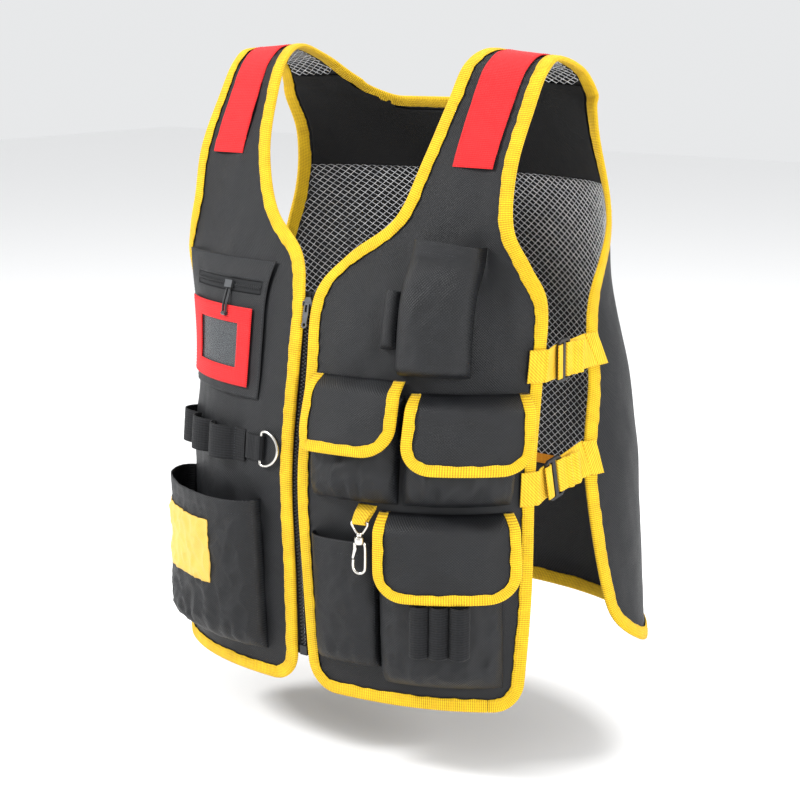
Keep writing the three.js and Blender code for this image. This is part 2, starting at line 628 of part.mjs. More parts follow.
function pocketBody(pocket, footShares, columns) {
  const foot = footShares.map((share) => pocket.bottom + share * pocket.foot);
  const heights = rowsBetween([...foot, pocket.mouth], 7);
  const point = (inset) => (i, j) => {
    const cut = { ...pocket, left: pocket.left + inset, right: pocket.right - inset, bottom: pocket.bottom + inset };
    cut.depth -= inset;
    cut.mouthDepth -= inset;
    const p = between(cut.bottom, cut.mouth, (heights[i] - pocket.bottom) / (pocket.mouth - pocket.bottom));
    const s = between(cut.left, cut.right, (1 - Math.cos(j / columns * Math.PI)) / 2);
    return cloth(p, s, bulge(p, s, cut));
  };
  return wallOf(heights.length - 1, columns, point(0), point(clothWall));
}
for (const [name, pocket] of Object.entries(pockets)) {
  const footShares = pocket.foot < 10 ? [0, 0.4, 1] : [0, 0.15, 0.5, 1];
  add(name, pocketBody(pocket, footShares, pocket.right - pocket.left < 20 ? 6 : 8), blackCloth);
}
{
  const pocket = pockets.tool_pocket;
  const rows = [88, 149];
  const widths = stopsBetween([-168, -86], 14);
  const point = (h) => (i, j) => cloth(rows[i], widths[j], bulge(rows[i], widths[j], pocket) + h);
  add('pocket_label', wallOf(rows.length - 1, widths.length - 1, point(2), point(1.1)), plainLabel);
}

// Flaps hang over their pockets' mouths and are bound on three edges
const flapLead = 16;
const flapBinding = 8.5;
function flap(name, area, pocket) {
  const middle = (area.left + area.right) / 2;
  const lift = (p, s) => {
    const down = Math.min(Math.max((area.top - p) / flapLead, 0), 1);
    const x = Math.abs(s - middle) / (area.right - area.left) * 2;
    const stand = rise(Math.min(p, pocket.mouth - 2), pocket) + 4;
    return clothFace + bindingOuter + area.seat + stand * Math.sin(down * Math.PI / 2) * (1 - 0.12 * x ** 3);
  };
  const rows = [0, 0.12, 0.45, 1].map((share) => area.bottom + area.corner * share);
  rows.push(area.top - flapLead, area.top - flapLead * 0.45, area.top);
  const edge = (p, way) => {
    const cut = cornerInset(area.corner, p - area.bottom);
    return way < 0 ? area.left + cut * area.leftCorner : area.right - cut;
  };
  const columns = 5;
  const across = (p, j) => {
    if (j === 0) return edge(p, -1);
    if (j === columns) return edge(p, 1);
    return between(edge(p, -1) + flapBinding, edge(p, 1) - flapBinding, (j - 1) / (columns - 2));
  };
  const point = (h) => (i, j) => {
    const s = across(rows[i], j);
    return cloth(rows[i], s, lift(rows[i], s) + h);
  };
  add(name, wallOf(rows.length - 1, columns, point(clothFace), point(-clothFace)), blackCloth);
  const stations = [...rows].reverse().map((p) => [p, edge(p, -1)]);
  for (let j = 1; j < columns; j++) stations.push([area.bottom, across(area.bottom, j)]);
  for (const p of rows) stations.push([p, edge(p, 1)]);
  add(`${name}_binding`, binding(stations, -1, flapBinding, lift), yellowTape);
}
const innerFlap = { left: 20, right: 106, top: 295, bottom: 229, corner: 26, leftCorner: 0.35, seat: 0.6 };
const outerFlap = { left: 114, right: 213, top: 285, bottom: 218, corner: 24, leftCorner: 1, seat: 0.6 };
const cargoFlap = { left: 92, right: 207, top: 180, bottom: 106, corner: 26, leftCorner: 1, seat: 0.2 };
flap('flap_inner', innerFlap, pockets.flap_pocket_inner);
flap('flap_outer', outerFlap, pockets.flap_pocket_outer);
flap('cargo_flap', cargoFlap, pockets.cargo_pocket);

// Elastic loops: a band sewn down at stitch lines, standing off the cloth between them
function loopBand(rows, stitches, stand, under) {
  const widths = [];
  const heights = [];
  for (let k = 0; k < stitches.length - 1; k++) {
    const parts = stand[k] > 0 ? 4 : 2;
    for (let m = 0; m < parts; m++) {
      widths.push(between(stitches[k], stitches[k + 1], m / parts));
      heights.push(stand[k] * Math.sin(m / parts * Math.PI) ** 0.7);
    }
  }
  widths.push(stitches[stitches.length - 1]);
  heights.push(0);
  const point = (h) => (i, j) => cloth(rows[i], widths[j], under(rows[i], widths[j]) + heights[j] + h);
  return wallOf(rows.length - 1, widths.length - 1, point(1.3), point(0));
}
add('tool_loops', loopBand([203, 233], [-203, -190, -152, -114, -76, -62], [0, 12, 12, 12, 0], () => sit - 0.1), elasticBlack);
{
  const onCargo = (p, s) => bulge(p, s, pockets.cargo_pocket) + 0.9;
  add('cargo_loops', loopBand([57, 103], [121, 136.5, 152, 168], [7, 8, 10], onCargo), elasticBlack);
}

// Wire bent in a plane: rings of points round a route of [x, y] in a frame
function wireRings(route, radius, count, closed) {
  return route.map(([x, y], i) => {
    const before = route[closed ? (i + route.length - 1) % route.length : Math.max(i - 1, 0)];
    const after = route[closed ? (i + 1) % route.length : Math.min(i + 1, route.length - 1)];
    const length = Math.hypot(after[0] - before[0], after[1] - before[1]);
    const side = [-(after[1] - before[1]) / length, (after[0] - before[0]) / length];
    return Array.from({ length: count }, (_, k) => {
      const turn = k / count * 2 * Math.PI;
      const reach = Math.cos(turn) * radius;
      return new THREE.Vector3(x + side[0] * reach, y + side[1] * reach, Math.sin(turn) * radius);
    });
  });
}
const wireCaps = (count) => Array.from({ length: count - 2 }, (_, k) => [0, k + 1, k + 2]);

// D-ring, lying on the cloth, and the black tab that folds round its straight bar
const dRing = { p: 219, s: -40, h: 2.9, wire: 1.4 };
{
  const route = [[0, -13.5], [0, -6], [0, 6], [0, 13.5]];
  for (let k = 0; k <= 8; k++) {
    const turn = Math.PI / 2 - k / 8 * Math.PI;
    route.push([2.5 + 19 * Math.cos(turn), 16 * Math.sin(turn)]);
  }
  const frame = frameOn(dRing.p, dRing.s, dRing.h);
  add('d_ring', sweep(wireRings(route, dRing.wire, 5, true)), steel, frame);
  const fold = new THREE.Shape();
  fold.moveTo(-20, -3);
  fold.lineTo(0, -3);
  fold.absarc(0, 0, 3, -Math.PI / 2, Math.PI / 2, false);
  fold.lineTo(-6, 1);
  fold.lineTo(-20, -0.8);
  const hollow = new THREE.Path();
  hollow.absarc(0, 0, dRing.wire + 0.4, -Math.PI / 2, Math.PI / 2, false);
  hollow.lineTo(-4.4, -0.6);
  hollow.lineTo(-4.4, -1.6);
  fold.holes.push(hollow);
  const tab = new THREE.ExtrudeGeometry(fold, { depth: 22, bevelEnabled: false, curveSegments: 5 });
  add('d_ring_tab', tab.translate(0, 0, -11).rotateX(-Math.PI / 2), elasticBlack, frame);
}

// Snap hook: a yellow tab folded round the eye's wire, the eye with its swivel pin, the hook and its gate
const hookPlace = cloth(173, 79, 18);
const hookAcross = surface(173, 80).sub(surface(173, 78)).setZ(0).normalize();
const hookUp = new THREE.Vector3(0, 0, 1);
const hookFrame = new THREE.Matrix4();
hookFrame.makeBasis(hookAcross, hookUp, hookAcross.clone().cross(hookUp)).setPosition(hookPlace);
{
  const route = [[-6, 0], [0, 0], [6, 0], [7.4, -0.7], [7.7, -2.2], [7, -4], [3.2, -9.6], [0, -10.8], [-3.2, -9.6]];
  route.push([-7, -4], [-7.7, -2.2], [-7.4, -0.7]);
  const eye = sweep(wireRings(route, 1.1, 5, true));
  const turned = [[0, -9.5], [2.9, -9.5], [2.9, -13], [1.2, -13], [1.2, -17], [2.4, -17], [2.4, -18.4], [0, -18.4]];
  const pin = new THREE.LatheGeometry(turned.map(([x, y]) => new THREE.Vector2(x, y)).reverse(), 6);
  add('hook_eye', join(eye, pin), steel, hookFrame);

  const shell = [[1.6, -13.3], [1.6, -14.9], [3, -14.9], [3, -20], [4.4, -20], [4.8, -18], [4.8, -14.4], [4, -13.3], [1.6, -13.3]];
  const barrel = new THREE.LatheGeometry(shell.map(([x, y]) => new THREE.Vector2(x, y)), 7);
  const bow = [[4.1, -18.6], [5.3, -22], [5.5, -30], [5.3, -41]];
  for (let k = 1; k <= 5; k++) {
    const turn = k / 5 * Math.PI;
    bow.push([-0.5 + 5.8 * Math.cos(turn), -41 - 5.6 * Math.sin(turn)]);
  }
  bow.push([-6.4, -38], [-6.2, -34.4]);
  const wireBow = sweep(wireRings(bow, 1.25, 4, false), wireCaps(4));
  const cheeks = [-2.2, 1.4].map((z) => new THREE.BoxGeometry(2.6, 5, 0.8).translate(-3.8, -21.4, z + 0.4));
  const pivot = new THREE.CylinderGeometry(0.6, 0.6, 3.4, 6).rotateX(Math.PI / 2).translate(-3.8, -22.4, 0);
  add('snap_hook', join(barrel, wireBow, ...cheeks, pivot), steel, hookFrame);

  const arm = new THREE.Shape();
  arm.absarc(-3.8, -22.4, 1.6, Math.PI * 0.2, Math.PI * 1.1, false);
  arm.lineTo(-7.3, -32.6);
  arm.lineTo(-6.9, -33.6);
  arm.lineTo(-5.6, -33.6);
  arm.lineTo(-2.6, -24.4);
  const hole = new THREE.Path();
  hole.absarc(-3.8, -22.4, 0.95, 0, Math.PI * 2, true);
  arm.holes.push(hole);
  const gate = new THREE.ExtrudeGeometry(arm, { depth: 2, bevelEnabled: false, curveSegments: 4 });
  add('hook_gate', gate.translate(0, 0, -1), steel, hookFrame);
}
{
  // The tab's profile in [outwards, up]: sewn under the pocket's seam, hanging out round the wire
  const fold = new THREE.Shape();
  fold.moveTo(-18.1, 9.4);
  fold.lineTo(-4, -2.2);
  fold.lineTo(0, -2.7);
  fold.absarc(0, 0, 2.7, -Math.PI / 2, Math.PI / 3, false);
  fold.lineTo(-8, 8);
  fold.lineTo(-17.7, 12.6);
  const hollow = new THREE.Path();
  hollow.absarc(0, 0, 1.6, -Math.PI / 2, Math.PI / 3, false);
  hollow.lineTo(-5.5, 3.8);
  hollow.lineTo(-5.6, 1.4);
  fold.holes.push(hollow);
  const tab = new THREE.ExtrudeGeometry(fold, { depth: 12, bevelEnabled: false, curveSegments: 5 });
  tab.translate(0, 0, -6).rotateY(-Math.PI / 2);
  const place = tab.attributes.position;
  for (let k = 0; k < place.count; k++) {
    const widen = 1 + 0.045 * Math.max(place.getY(k), 0);
    place.setX(k, place.getX(k) * widen);
  }
  add('hook_tab', tab, yellowWebbing, hookFrame);
}

// Side straps: webbing from the front edge through a slider to the back edge, its tail folded back outside
const sliderSize = { along: 22, across: 38, wall: 2.6, slot: 5, slotHigh: 33 };
for (const strap of straps) {
  for (const { side, sign } of sides) {
    const onCloth = (p, s, h) => {
      const ring = [];
      const up = p < shoulderHeight ? 1 : -1;
      for (const [high, deep] of [[-1, 0], [1, 0], [1, webWall], [-1, webWall]]) {
        ring.push(cloth(p + up * high * webWidth / 2, s, h + deep));
      }
      return ring;
    };
    const frontEdge = outerEdge(strap.front);
    const backEdge = outerEdge(strap.back);
    const low = bindingOuter + 1.1;
    const frontRings = [15, 0, -2.5].map((inset) => onCloth(strap.front, sign * (frontEdge - inset), low));
    const backRings = [14, 0, -2.5].map((inset) => onCloth(strap.back, sign * (backEdge - inset), low));
    const centre = (ring) => ring.reduce((sum, v) => sum.add(v), new THREE.Vector3()).multiplyScalar(0.25);
    const from = centre(frontRings[2]);
    const to = centre(backRings[2]);
    const along = to.clone().sub(from);
    const span = along.length();
    along.normalize();
    const upright = new THREE.Vector3(0, 0, 1).addScaledVector(along, -along.z).normalize();
    const out = along.clone().cross(upright).multiplyScalar(sign);
    const ringAt = (t, n, faceT, faceN) => {
      const middle = from.clone().addScaledVector(along, t).addScaledVector(out, n);
      const across = along.clone().multiplyScalar(faceT).addScaledVector(out, faceN).normalize();
      return [[-1, -1], [1, -1], [1, 1], [-1, 1]].map(([high, deep]) => {
        const point = middle.clone().addScaledVector(upright, high * webWidth / 2);
        return point.addScaledVector(across, deep * webWall / 2);
      });
    };
    // The slider's middle, then each web's loop round the slider's end bar through its slot
    const middle = between(0, span, strap.name === 'upper' ? 0.36 : 0.34);
    const bar = sliderSize.along / 2 - 2.6;
    const clear = sliderSize.wall / 2 + gap + webWall / 2;
    const loopRound = (way) => {
      const barAt = middle + way * bar;
      const inside = barAt - way * 3.6;
      const rings = [];
      rings.push(ringAt(barAt + way * 6, -clear, 0, 1));
      rings.push(ringAt(barAt, -clear, 0, 1));
      rings.push(ringAt(inside + way * 0.5, -clear + 0.7, way * 0.7, 0.7));
      rings.push(ringAt(inside, 0, way, 0));
      rings.push(ringAt(inside + way * 0.5, clear - 0.7, way * 0.7, -0.7));
      rings.push(ringAt(barAt, clear, 0, -1));
      rings.push(ringAt(barAt + way * 6, clear, 0, -1));
      return rings;
    };
    const frontWeb = [...frontRings, ...loopRound(-1)];
    add(`${strap.name}_front_web_${side}`, sweep(frontWeb, ribbonCaps), yellowWebbing);
    const tail = [[4, 3], [8, 1.6], [13, 4], [18, 2.4]].map(([t, n]) => ringAt(middle + bar + 6 + t, clear + n, 0, -1));
    const backWeb = [...backRings, ...loopRound(1), ...tail];
    add(`${strap.name}_back_web_${side}`, sweep(backWeb, ribbonCaps), yellowWebbing);

    // The slider: a plate of bars round two slots, with blunted corners
    const halfAlong = sliderSize.along / 2;
    const halfAcross = sliderSize.across / 2;
    const slotEnd = sliderSize.slotHigh / 2;
    const slotFrom = bar - 1.3 - sliderSize.slot;
    const platesX = [-halfAlong, 1.3 - bar, -slotFrom, slotFrom, bar - 1.3, halfAlong];
    const platesY = [-halfAcross, -slotEnd, slotEnd, halfAcross];
    const blunt = (i, j) => ((i === 0 || i === 3) && (j === 0 || j === 5) ? 0.9 : 1);
    const platePoint = (z) => (i, j) => new THREE.Vector3(platesX[j] * blunt(i, j), platesY[i] * blunt(i, j), z);
    const halfWall = sliderSize.wall / 2;
    const bars = (i, j) => i !== 1 || (j !== 1 && j !== 3);
    const slider = wallOf(3, 5, platePoint(halfWall), platePoint(-halfWall), bars);
    const frame = new THREE.Matrix4().makeBasis(along, upright, along.clone().cross(upright));
    frame.setPosition(from.clone().addScaledVector(along, middle));
    add(`${strap.name}_slider_${side}`, slider, blackPlastic, frame);
  }
}

export default vest;
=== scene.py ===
import json
import math
import bmesh
import bpy
import numpy as np
from mathutils import Matrix, Vector

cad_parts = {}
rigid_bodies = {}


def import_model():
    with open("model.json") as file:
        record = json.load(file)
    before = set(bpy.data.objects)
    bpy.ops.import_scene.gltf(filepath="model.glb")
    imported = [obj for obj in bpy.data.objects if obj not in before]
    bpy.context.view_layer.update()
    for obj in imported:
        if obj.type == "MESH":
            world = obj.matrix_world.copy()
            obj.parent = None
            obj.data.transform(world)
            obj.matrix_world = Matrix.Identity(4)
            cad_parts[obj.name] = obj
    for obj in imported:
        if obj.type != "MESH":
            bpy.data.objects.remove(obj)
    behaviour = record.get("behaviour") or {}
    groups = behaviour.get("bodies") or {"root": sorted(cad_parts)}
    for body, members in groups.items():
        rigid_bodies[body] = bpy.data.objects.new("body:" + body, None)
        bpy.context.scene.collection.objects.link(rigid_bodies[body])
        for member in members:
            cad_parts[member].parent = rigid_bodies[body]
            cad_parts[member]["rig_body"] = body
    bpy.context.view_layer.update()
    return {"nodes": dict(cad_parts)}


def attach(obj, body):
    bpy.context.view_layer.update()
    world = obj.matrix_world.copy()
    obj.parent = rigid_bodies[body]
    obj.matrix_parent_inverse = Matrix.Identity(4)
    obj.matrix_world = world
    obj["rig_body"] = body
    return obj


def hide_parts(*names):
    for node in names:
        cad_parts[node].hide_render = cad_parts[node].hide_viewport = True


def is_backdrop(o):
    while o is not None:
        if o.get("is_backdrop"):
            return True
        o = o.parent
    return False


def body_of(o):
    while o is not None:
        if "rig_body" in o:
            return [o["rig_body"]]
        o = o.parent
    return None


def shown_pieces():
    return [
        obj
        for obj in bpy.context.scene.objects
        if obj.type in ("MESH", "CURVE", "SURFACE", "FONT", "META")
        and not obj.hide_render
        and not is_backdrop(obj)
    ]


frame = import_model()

# FRONT PANELS
# Each front is one panel of fine black plain-weave cloth, shaped by the body under it. Its edges are drawn
# in by their bindings, so the cloth puckers beside them, and it falls in shallow folds below the chest.
# All lengths in these sections are millimetres, and are made metres where a mesh gets its points.
MM = 0.001
# One row for each level of the cloth: y, z, turn in degrees, inner edge and outer edge. The rows were made by
# a least-squares fit to outline points read off the photograph, and rounded; part.mjs has the same.
LEVELS = np.array([
    (-133, -570, 63, 9, 212), (-139, -469, 74, 6, 223), (-144, -371, 83, 5, 229), (-132, -281, 80, 6, 227),
    (-121, -211, 64, 7, 224), (-100, -175, 42, 28, 201), (-86, -141, 22, 69, 183), (-73, -90, 16, 89, 180),
    (-52, -38, 23, 99, 180), (-32, -1, 24, 103, 180), (0, 13, 8, 108, 179), (43, 0, 3, 112, 177),
    (70, -27, -13, 90, 182), (91, -46, -41, 55, 184), (125, -87, -67, 55, 188), (161, -144, -85, 55, 212),
    (188, -214, -97, 55, 256), (204, -294, -87, 55, 295), (208, -376, -77, 55, 331),
    (210, -495, -72, 55, 322), (191, -538, -61, 55, 304)], float)
SHOULDER_LEVEL = 10
NECK_START = 12
NECK_FLOOR = 13
LAST_LEVEL = len(LEVELS) - 1
NECK_HALF = 55
NECK_WIDE = 90
TURN_REACH = 260
TURN_POWER = 1.6
SHOULDER_DROP = 13
FRONT_INNER_CORNER = 28
FRONT_OUTER_CORNER = 24
BACK_CORNER = 45


def level_at(u):
    """y, z, turn, inner and outer edge of the cloth at level u, on a smooth curve through the table."""
    u = np.clip(np.asarray(u, float), 0, LAST_LEVEL - 1e-9)
    i = np.floor(u).astype(int)
    t = (u - i)[..., None]
    b = LEVELS[i]
    c = LEVELS[i + 1]
    a = np.where((i == 0)[..., None], 2 * b - c, LEVELS[np.maximum(i - 1, 0)])
    d = np.where((i == LAST_LEVEL - 1)[..., None], 2 * c - b, LEVELS[np.minimum(i + 2, LAST_LEVEL)])
    bend = (2 * a - 5 * b + 4 * c - d) * t ** 2 + (3 * b - a - 3 * c + d) * t ** 3
    return 0.5 * (2 * b + (c - a) * t + bend)


LEVEL_STEPS = np.linspace(0, LAST_LEVEL, 1001)
centre_line = level_at(LEVEL_STEPS)[:, :2]
LEVEL_HEIGHTS = np.concatenate([[0], np.cumsum(np.hypot(*np.diff(centre_line, axis=0).T))])


def height_of(u):
    return float(np.interp(u, LEVEL_STEPS, LEVEL_HEIGHTS))


def level_of(p):
    return np.interp(p, LEVEL_HEIGHTS, LEVEL_STEPS)


SHOULDER = height_of(SHOULDER_LEVEL)
NECK_TOP = height_of(NECK_START)
NECK_BOTTOM = height_of(NECK_FLOOR)
HEM = height_of(LAST_LEVEL)


def surface(p, s):
    """The middle of the cloth at height p along the body and at width s; s below 0 is the wearer's right."""
    p, s = np.broadcast_arrays(np.asarray(p, float), np.asarray(s, float))
    inside = np.clip(p, 0, HEM)
    u = level_of(inside)
    row = level_at(u)
    wide = np.abs(s)
    x = np.zeros_like(wide)
    y = np.zeros_like(wide)
    for step in range(10):
        turned = np.radians(row[..., 2]) * ((step + 0.5) / 10 * wide / TURN_REACH) ** TURN_POWER
        x += np.cos(turned) * wide / 10
        y += np.sin(turned) * wide / 10
    drop = SHOULDER_DROP * np.exp(-(((u - SHOULDER_LEVEL) / 2.2) ** 2)) * wide / 150
    points = np.stack([np.sign(s) * x, row[..., 0] + y, row[..., 1] - drop], axis=-1)
    past = p - inside
    if np.any(past != 0):
        before = surface(inside - np.sign(past) * 2, s)
        points = points + (points - before) * (np.abs(past) / 2)[..., None]
    return points


def cloth(p, s, h):
    """The point that lies h outside the middle of the cloth."""
    p, s, h = np.broadcast_arrays(np.asarray(p, float), np.asarray(s, float), np.asarray(h, float))
    along = surface(p + 1, s) - surface(p - 1, s)
    across = surface(p, s + 1) - surface(p, s - 1)
    out = np.cross(across, along)
    out /= np.linalg.norm(out, axis=-1, keepdims=True)
    return surface(p, s) + out * h[..., None]


def corner_inset(radius, from_hem):
    depth = np.clip(radius - from_hem, 0, radius)
    return radius - np.sqrt(radius * radius - depth * depth)


def inner_edge(p):
    u = level_of(p)
    t = np.clip((u - NECK_START) / (NECK_FLOOR - NECK_START), 0, 1)
    neck = NECK_HALF + (NECK_WIDE - NECK_HALF) * np.sqrt(1 - t * t)
    return np.where(u < NECK_START, level_at(u)[..., 3] + corner_inset(FRONT_INNER_CORNER, p), neck)


def outer_edge(p):
    outer = level_at(level_of(p))[..., 4]
    front = outer - corner_inset(FRONT_OUTER_CORNER, p)
    return np.where(p < SHOULDER, front, outer - corner_inset(BACK_CORNER, HEM - p))


def mix(a, b, share):
    return a + (b - a) * share


def waves(a, b, seed):
    """A smooth uneven wave between about -1 and 1, for folds and puckers; a and b are in radians."""
    first = np.sin(a + 1.7 * np.sin(0.61 * b + seed)) * np.cos(0.83 * b + 2.1 * seed)
    second = np.sin(1.9 * a - 0.7 * b + 3.3 * seed) * np.sin(0.47 * a + 1.3 * b + seed)
    return 0.62 * first + 0.38 * second


def creases(a, b, seed):
    """Sharp ridges with rounded hollows between them, between about -1 and 1, for crumpled cloth."""
    return 1 - 2 * np.sqrt(np.abs(waves(a, b, seed)) + 0.004)


def flat_grid(columns, rows):
    """A flat grid, and each point's share across and up it."""
    shape = bmesh.new()
    bmesh.ops.create_grid(shape, x_segments=columns, y_segments=rows, size=1)
    shape.verts.ensure_lookup_table()
    return shape, np.array([v.co[:2] for v in shape.verts]) / 2 + 0.5


def lay_out(shape, points, layout):
    """The grid's points and its cloth map get their places, given in millimetres."""
    cloth_map = shape.loops.layers.uv.new("cloth")
    for vert, point in zip(shape.verts, points * MM):
        vert.co = point
    for face in shape.faces:
        for loop in face.loops:
            loop[cloth_map].uv = layout[loop.vert.index] * MM


def shaped_sheet(name, columns, rows, place, wall, material, keep=None, hole=None):
    """A sheet on the cloth: place turns shares across and up the grid into heights, widths and lift."""
    shape, shares = flat_grid(columns, rows)
    p, s, h = (np.broadcast_to(part, len(shares)) for part in place(shares[:, 0], shares[:, 1]))
    lay_out(shape, cloth(p, s, h), np.stack([s, p], axis=-1))
    gone = []
    if keep is not None:
        kept = keep(shares[:, 0], shares[:, 1])
        gone = [f for f in shape.faces if not all(kept[v.index] for v in f.verts)]
    if hole is not None:
        for face in shape.faces:
            ids = [v.index for v in face.verts]
            if hole[0] < np.mean(s[ids]) < hole[1] and hole[2] < np.mean(p[ids]) < hole[3]:
                gone.append(face)
    bmesh.ops.delete(shape, geom=gone, context="FACES")
    return finish_sheet(name, shape, wall, material)


def finish_sheet(name, shape, wall, material):
    mesh = bpy.data.meshes.new(name)
    shape.to_mesh(mesh)
    shape.free()
    mesh.polygons.foreach_set("use_smooth", [True] * len(mesh.polygons))
    mesh.materials.append(material)
    piece = bpy.data.objects.new(name, mesh)
    bpy.context.scene.collection.objects.link(piece)
    if wall:
        thick = piece.modifiers.new("thickness", "SOLIDIFY")
        thick.thickness = wall * MM
        thick.offset = 0
    return piece


class Tone:
    """A shader socket that can be used in sums; the sums become maths nodes."""

    def __init__(self, finish, socket):
        self.finish = finish
        self.socket = socket

    def maths(self, operation, a, b=None):
        inputs = {0: a} if b is None else {0: a, 1: b}
        return self.finish.node("ShaderNodeMath", {"operation": operation}, inputs).out("Value")

    def __add__(self, other):
        return self.maths("ADD", self, other)

    def __mul__(self, other):
        return self.maths("MULTIPLY", self, other)

    def __sub__(self, other):
        return self.maths("SUBTRACT", self, other)

    def __rsub__(self, other):
        return self.maths("SUBTRACT", other, self)

    __radd__ = __add__
    __rmul__ = __mul__

    def sine(self):
        return self.maths("SINE", self)


class MadeNode:
    def __init__(self, finish, node):
        self.finish = finish
        self.node = node

    def out(self, name):
        return Tone(self.finish, self.node.outputs[name])


class Finish:
    """One material with its shader; every other node comes from node()."""

    def __init__(self, name, color, roughness, metallic=0.0, **constants):
        self.material = bpy.data.materials.new(name)
        self.material.use_nodes = True
        self.tree = self.material.node_tree
        self.shader = self.tree.nodes["Principled BSDF"]
        self.color = color
        self.shader.inputs["Base Color"].default_value = (*color, 1)
        self.shader.inputs["Roughness"].default_value = roughness
        self.shader.inputs["Metallic"].default_value = metallic
        for label, value in constants.items():
            self.shader.inputs[label.replace("_", " ")].default_value = value

    def node(self, kind, settings, inputs):
        made = self.tree.nodes.new(kind)
        for label, value in settings.items():
            setattr(made, label, value)
        for label, value in inputs.items():
            if isinstance(value, Tone):
                self.tree.links.new(value.socket, made.inputs[label])
            else:
                made.inputs[label].default_value = value
        return MadeNode(self, made)

    def place(self):
        """Across and along the piece's own layout, in metres."""
        layout = self.node("ShaderNodeUVMap", {"uv_map": "cloth"}, {})
        parts = self.node("ShaderNodeSeparateXYZ", {}, {"Vector": layout.out("UV")})
        return parts.out("X"), parts.out("Y"), layout.out("UV")

    def space(self):
        return self.node("ShaderNodeTexCoord", {}, {}).out("Object")

    def noise(self, vector, scale, detail=3):
        inputs = {"Vector": vector, "Scale": scale, "Detail": detail}
        return self.node("ShaderNodeTexNoise", {}, inputs).out("Fac")

    def tint(self, share, darker, lighter):
        inputs = {"Factor": share, 6: (*darker, 1), 7: (*lighter, 1)}
        made = self.node("ShaderNodeMix", {"data_type": "RGBA"}, inputs)
        return Tone(self, made.node.outputs[2])

    def feed(self, label, tone):
        self.tree.links.new(tone.socket, self.shader.inputs[label])

    def bump(self, height, strength, distance):
        values = {"Height": height, "Strength": strength, "Distance": distance}
        self.feed("Normal", self.node("ShaderNodeBump", {}, values).out("Normal"))


def linear(r, g, b):
    """A colour as it is seen, 0 to 255, as the shader reckons it."""
    return tuple(((v / 255 + 0.055) / 1.055) ** 2.4 if v > 10 else v / 255 / 12.92 for v in (r, g, b))


def woven(name, dark, light, pitch, strength, roughness=0.85, rough_scale=60, sheen=0.0):
    """Plain weave: threads over and under each other, with uneven yarn and soft mottling."""
    made = Finish(name, light, roughness, Sheen_Weight=sheen, Sheen_Roughness=0.5, Specular_IOR_Level=0.36)
    across, along, spot = made.place()
    per_metre = 2 * math.pi / pitch
    threads = (across * per_metre).sine() * (along * per_metre).sine()
    mottled = made.noise(spot, rough_scale, 5)
    grain = made.noise(spot, 900, 2)
    broad = made.noise(spot, 13, 2)
    made.feed("Base Color", made.tint(threads * 0.4 + mottled * 0.65 + grain * 0.25 - 0.05, dark, light))
    made.feed("Roughness", mottled * 0.25 + (roughness - 0.12))
    made.bump(threads * 0.7 + grain * 0.9 + mottled * 2.2 + broad * 11, strength, 0.0003)
    return made.material


black_cloth = woven("black cloth", linear(4, 4, 5), linear(32, 34, 38), 0.0023, 0.95, 0.5, 45)
FRONT_COLUMNS = 84
FRONT_ROWS = 240


def panel_folds(p, s, from_edge):
    """Shallow folds over the panel, and short puckers where the bindings draw the cloth in."""
    calm = np.clip((from_edge - 9) / 26, 0, 1)
    drape = 2.0 * waves((s + 0.5 * p) / 19, (p - 0.4 * s) / 52, 0.7)
    folds = (drape + 0.45 * waves(s / 7, p / 13, 1.9)) * calm * np.where(p < SHOULDER, 1.2, 0.55)
    pucker = 0.5 * waves(p / 2.1, s / 9, 2.2) * np.exp(-(((from_edge - 13) / 9) ** 2))
    return folds + pucker


def front_panel(side):
    def place(a, b):
        p = b * (SHOULDER - 0.15)
        inner = inner_edge(p)
        outer = outer_edge(p)
        share = a if side > 0 else 1 - a
        s = mix(inner, outer, share)
        from_edge = np.minimum(np.minimum(s - inner, outer - s), p)
        return p, side * s, panel_folds(p, s, from_edge)
    return place


front_panels = []
for label, side in (("left", 1), ("right", -1)):
    piece = shaped_sheet(f"front_{label}", FRONT_COLUMNS, FRONT_ROWS, front_panel(side), 1.1, black_cloth)
    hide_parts(f"front_panel_{label}")
    front_panels.append(piece)

# BACK PANEL
# The whole back is one panel of the same black cloth, cut round the neck, and sewn to both fronts on top of
# the shoulders. It is wide at the waist, where its two side edges come round towards the front.
BACK_SIDE_COLUMNS = 70
BACK_MIDDLE_COLUMNS = 24
BACK_ROWS = 216


def back_place(low, high, inset):
    """Rows from low to high; the middle columns cover the neck opening and are left out above its floor."""
    columns = 2 * BACK_SIDE_COLUMNS + BACK_MIDDLE_COLUMNS
    side_share = BACK_SIDE_COLUMNS / columns

    def place(a, b):
        p = mix(low, high, b)
        inner = inner_edge(np.minimum(p, NECK_BOTTOM)) + np.where(p < NECK_BOTTOM + inset, inset, 0)
        outer = outer_edge(p) - inset
        left = np.clip(a / side_share, 0, 1)
        right = np.clip((a - (1 - side_share)) / side_share, 0, 1)
        middle = np.clip((a - side_share) / (1 - 2 * side_share), 0, 1)
        s = np.where(a <= side_share, mix(-outer, -inner, left), mix(-inner, inner, middle))
        s = np.where(a >= 1 - side_share, mix(inner, outer, right), s)
        return p, s

    def keep(a, b):
        p = mix(low, high, b)
        beside = (a <= side_share + 1e-6) | (a >= 1 - side_share - 1e-6)
        return beside | (p >= NECK_BOTTOM + inset - 1.5)

    return place, keep, columns


flat_back, keep_back, back_columns = back_place(SHOULDER + 0.15, HEM, 0)


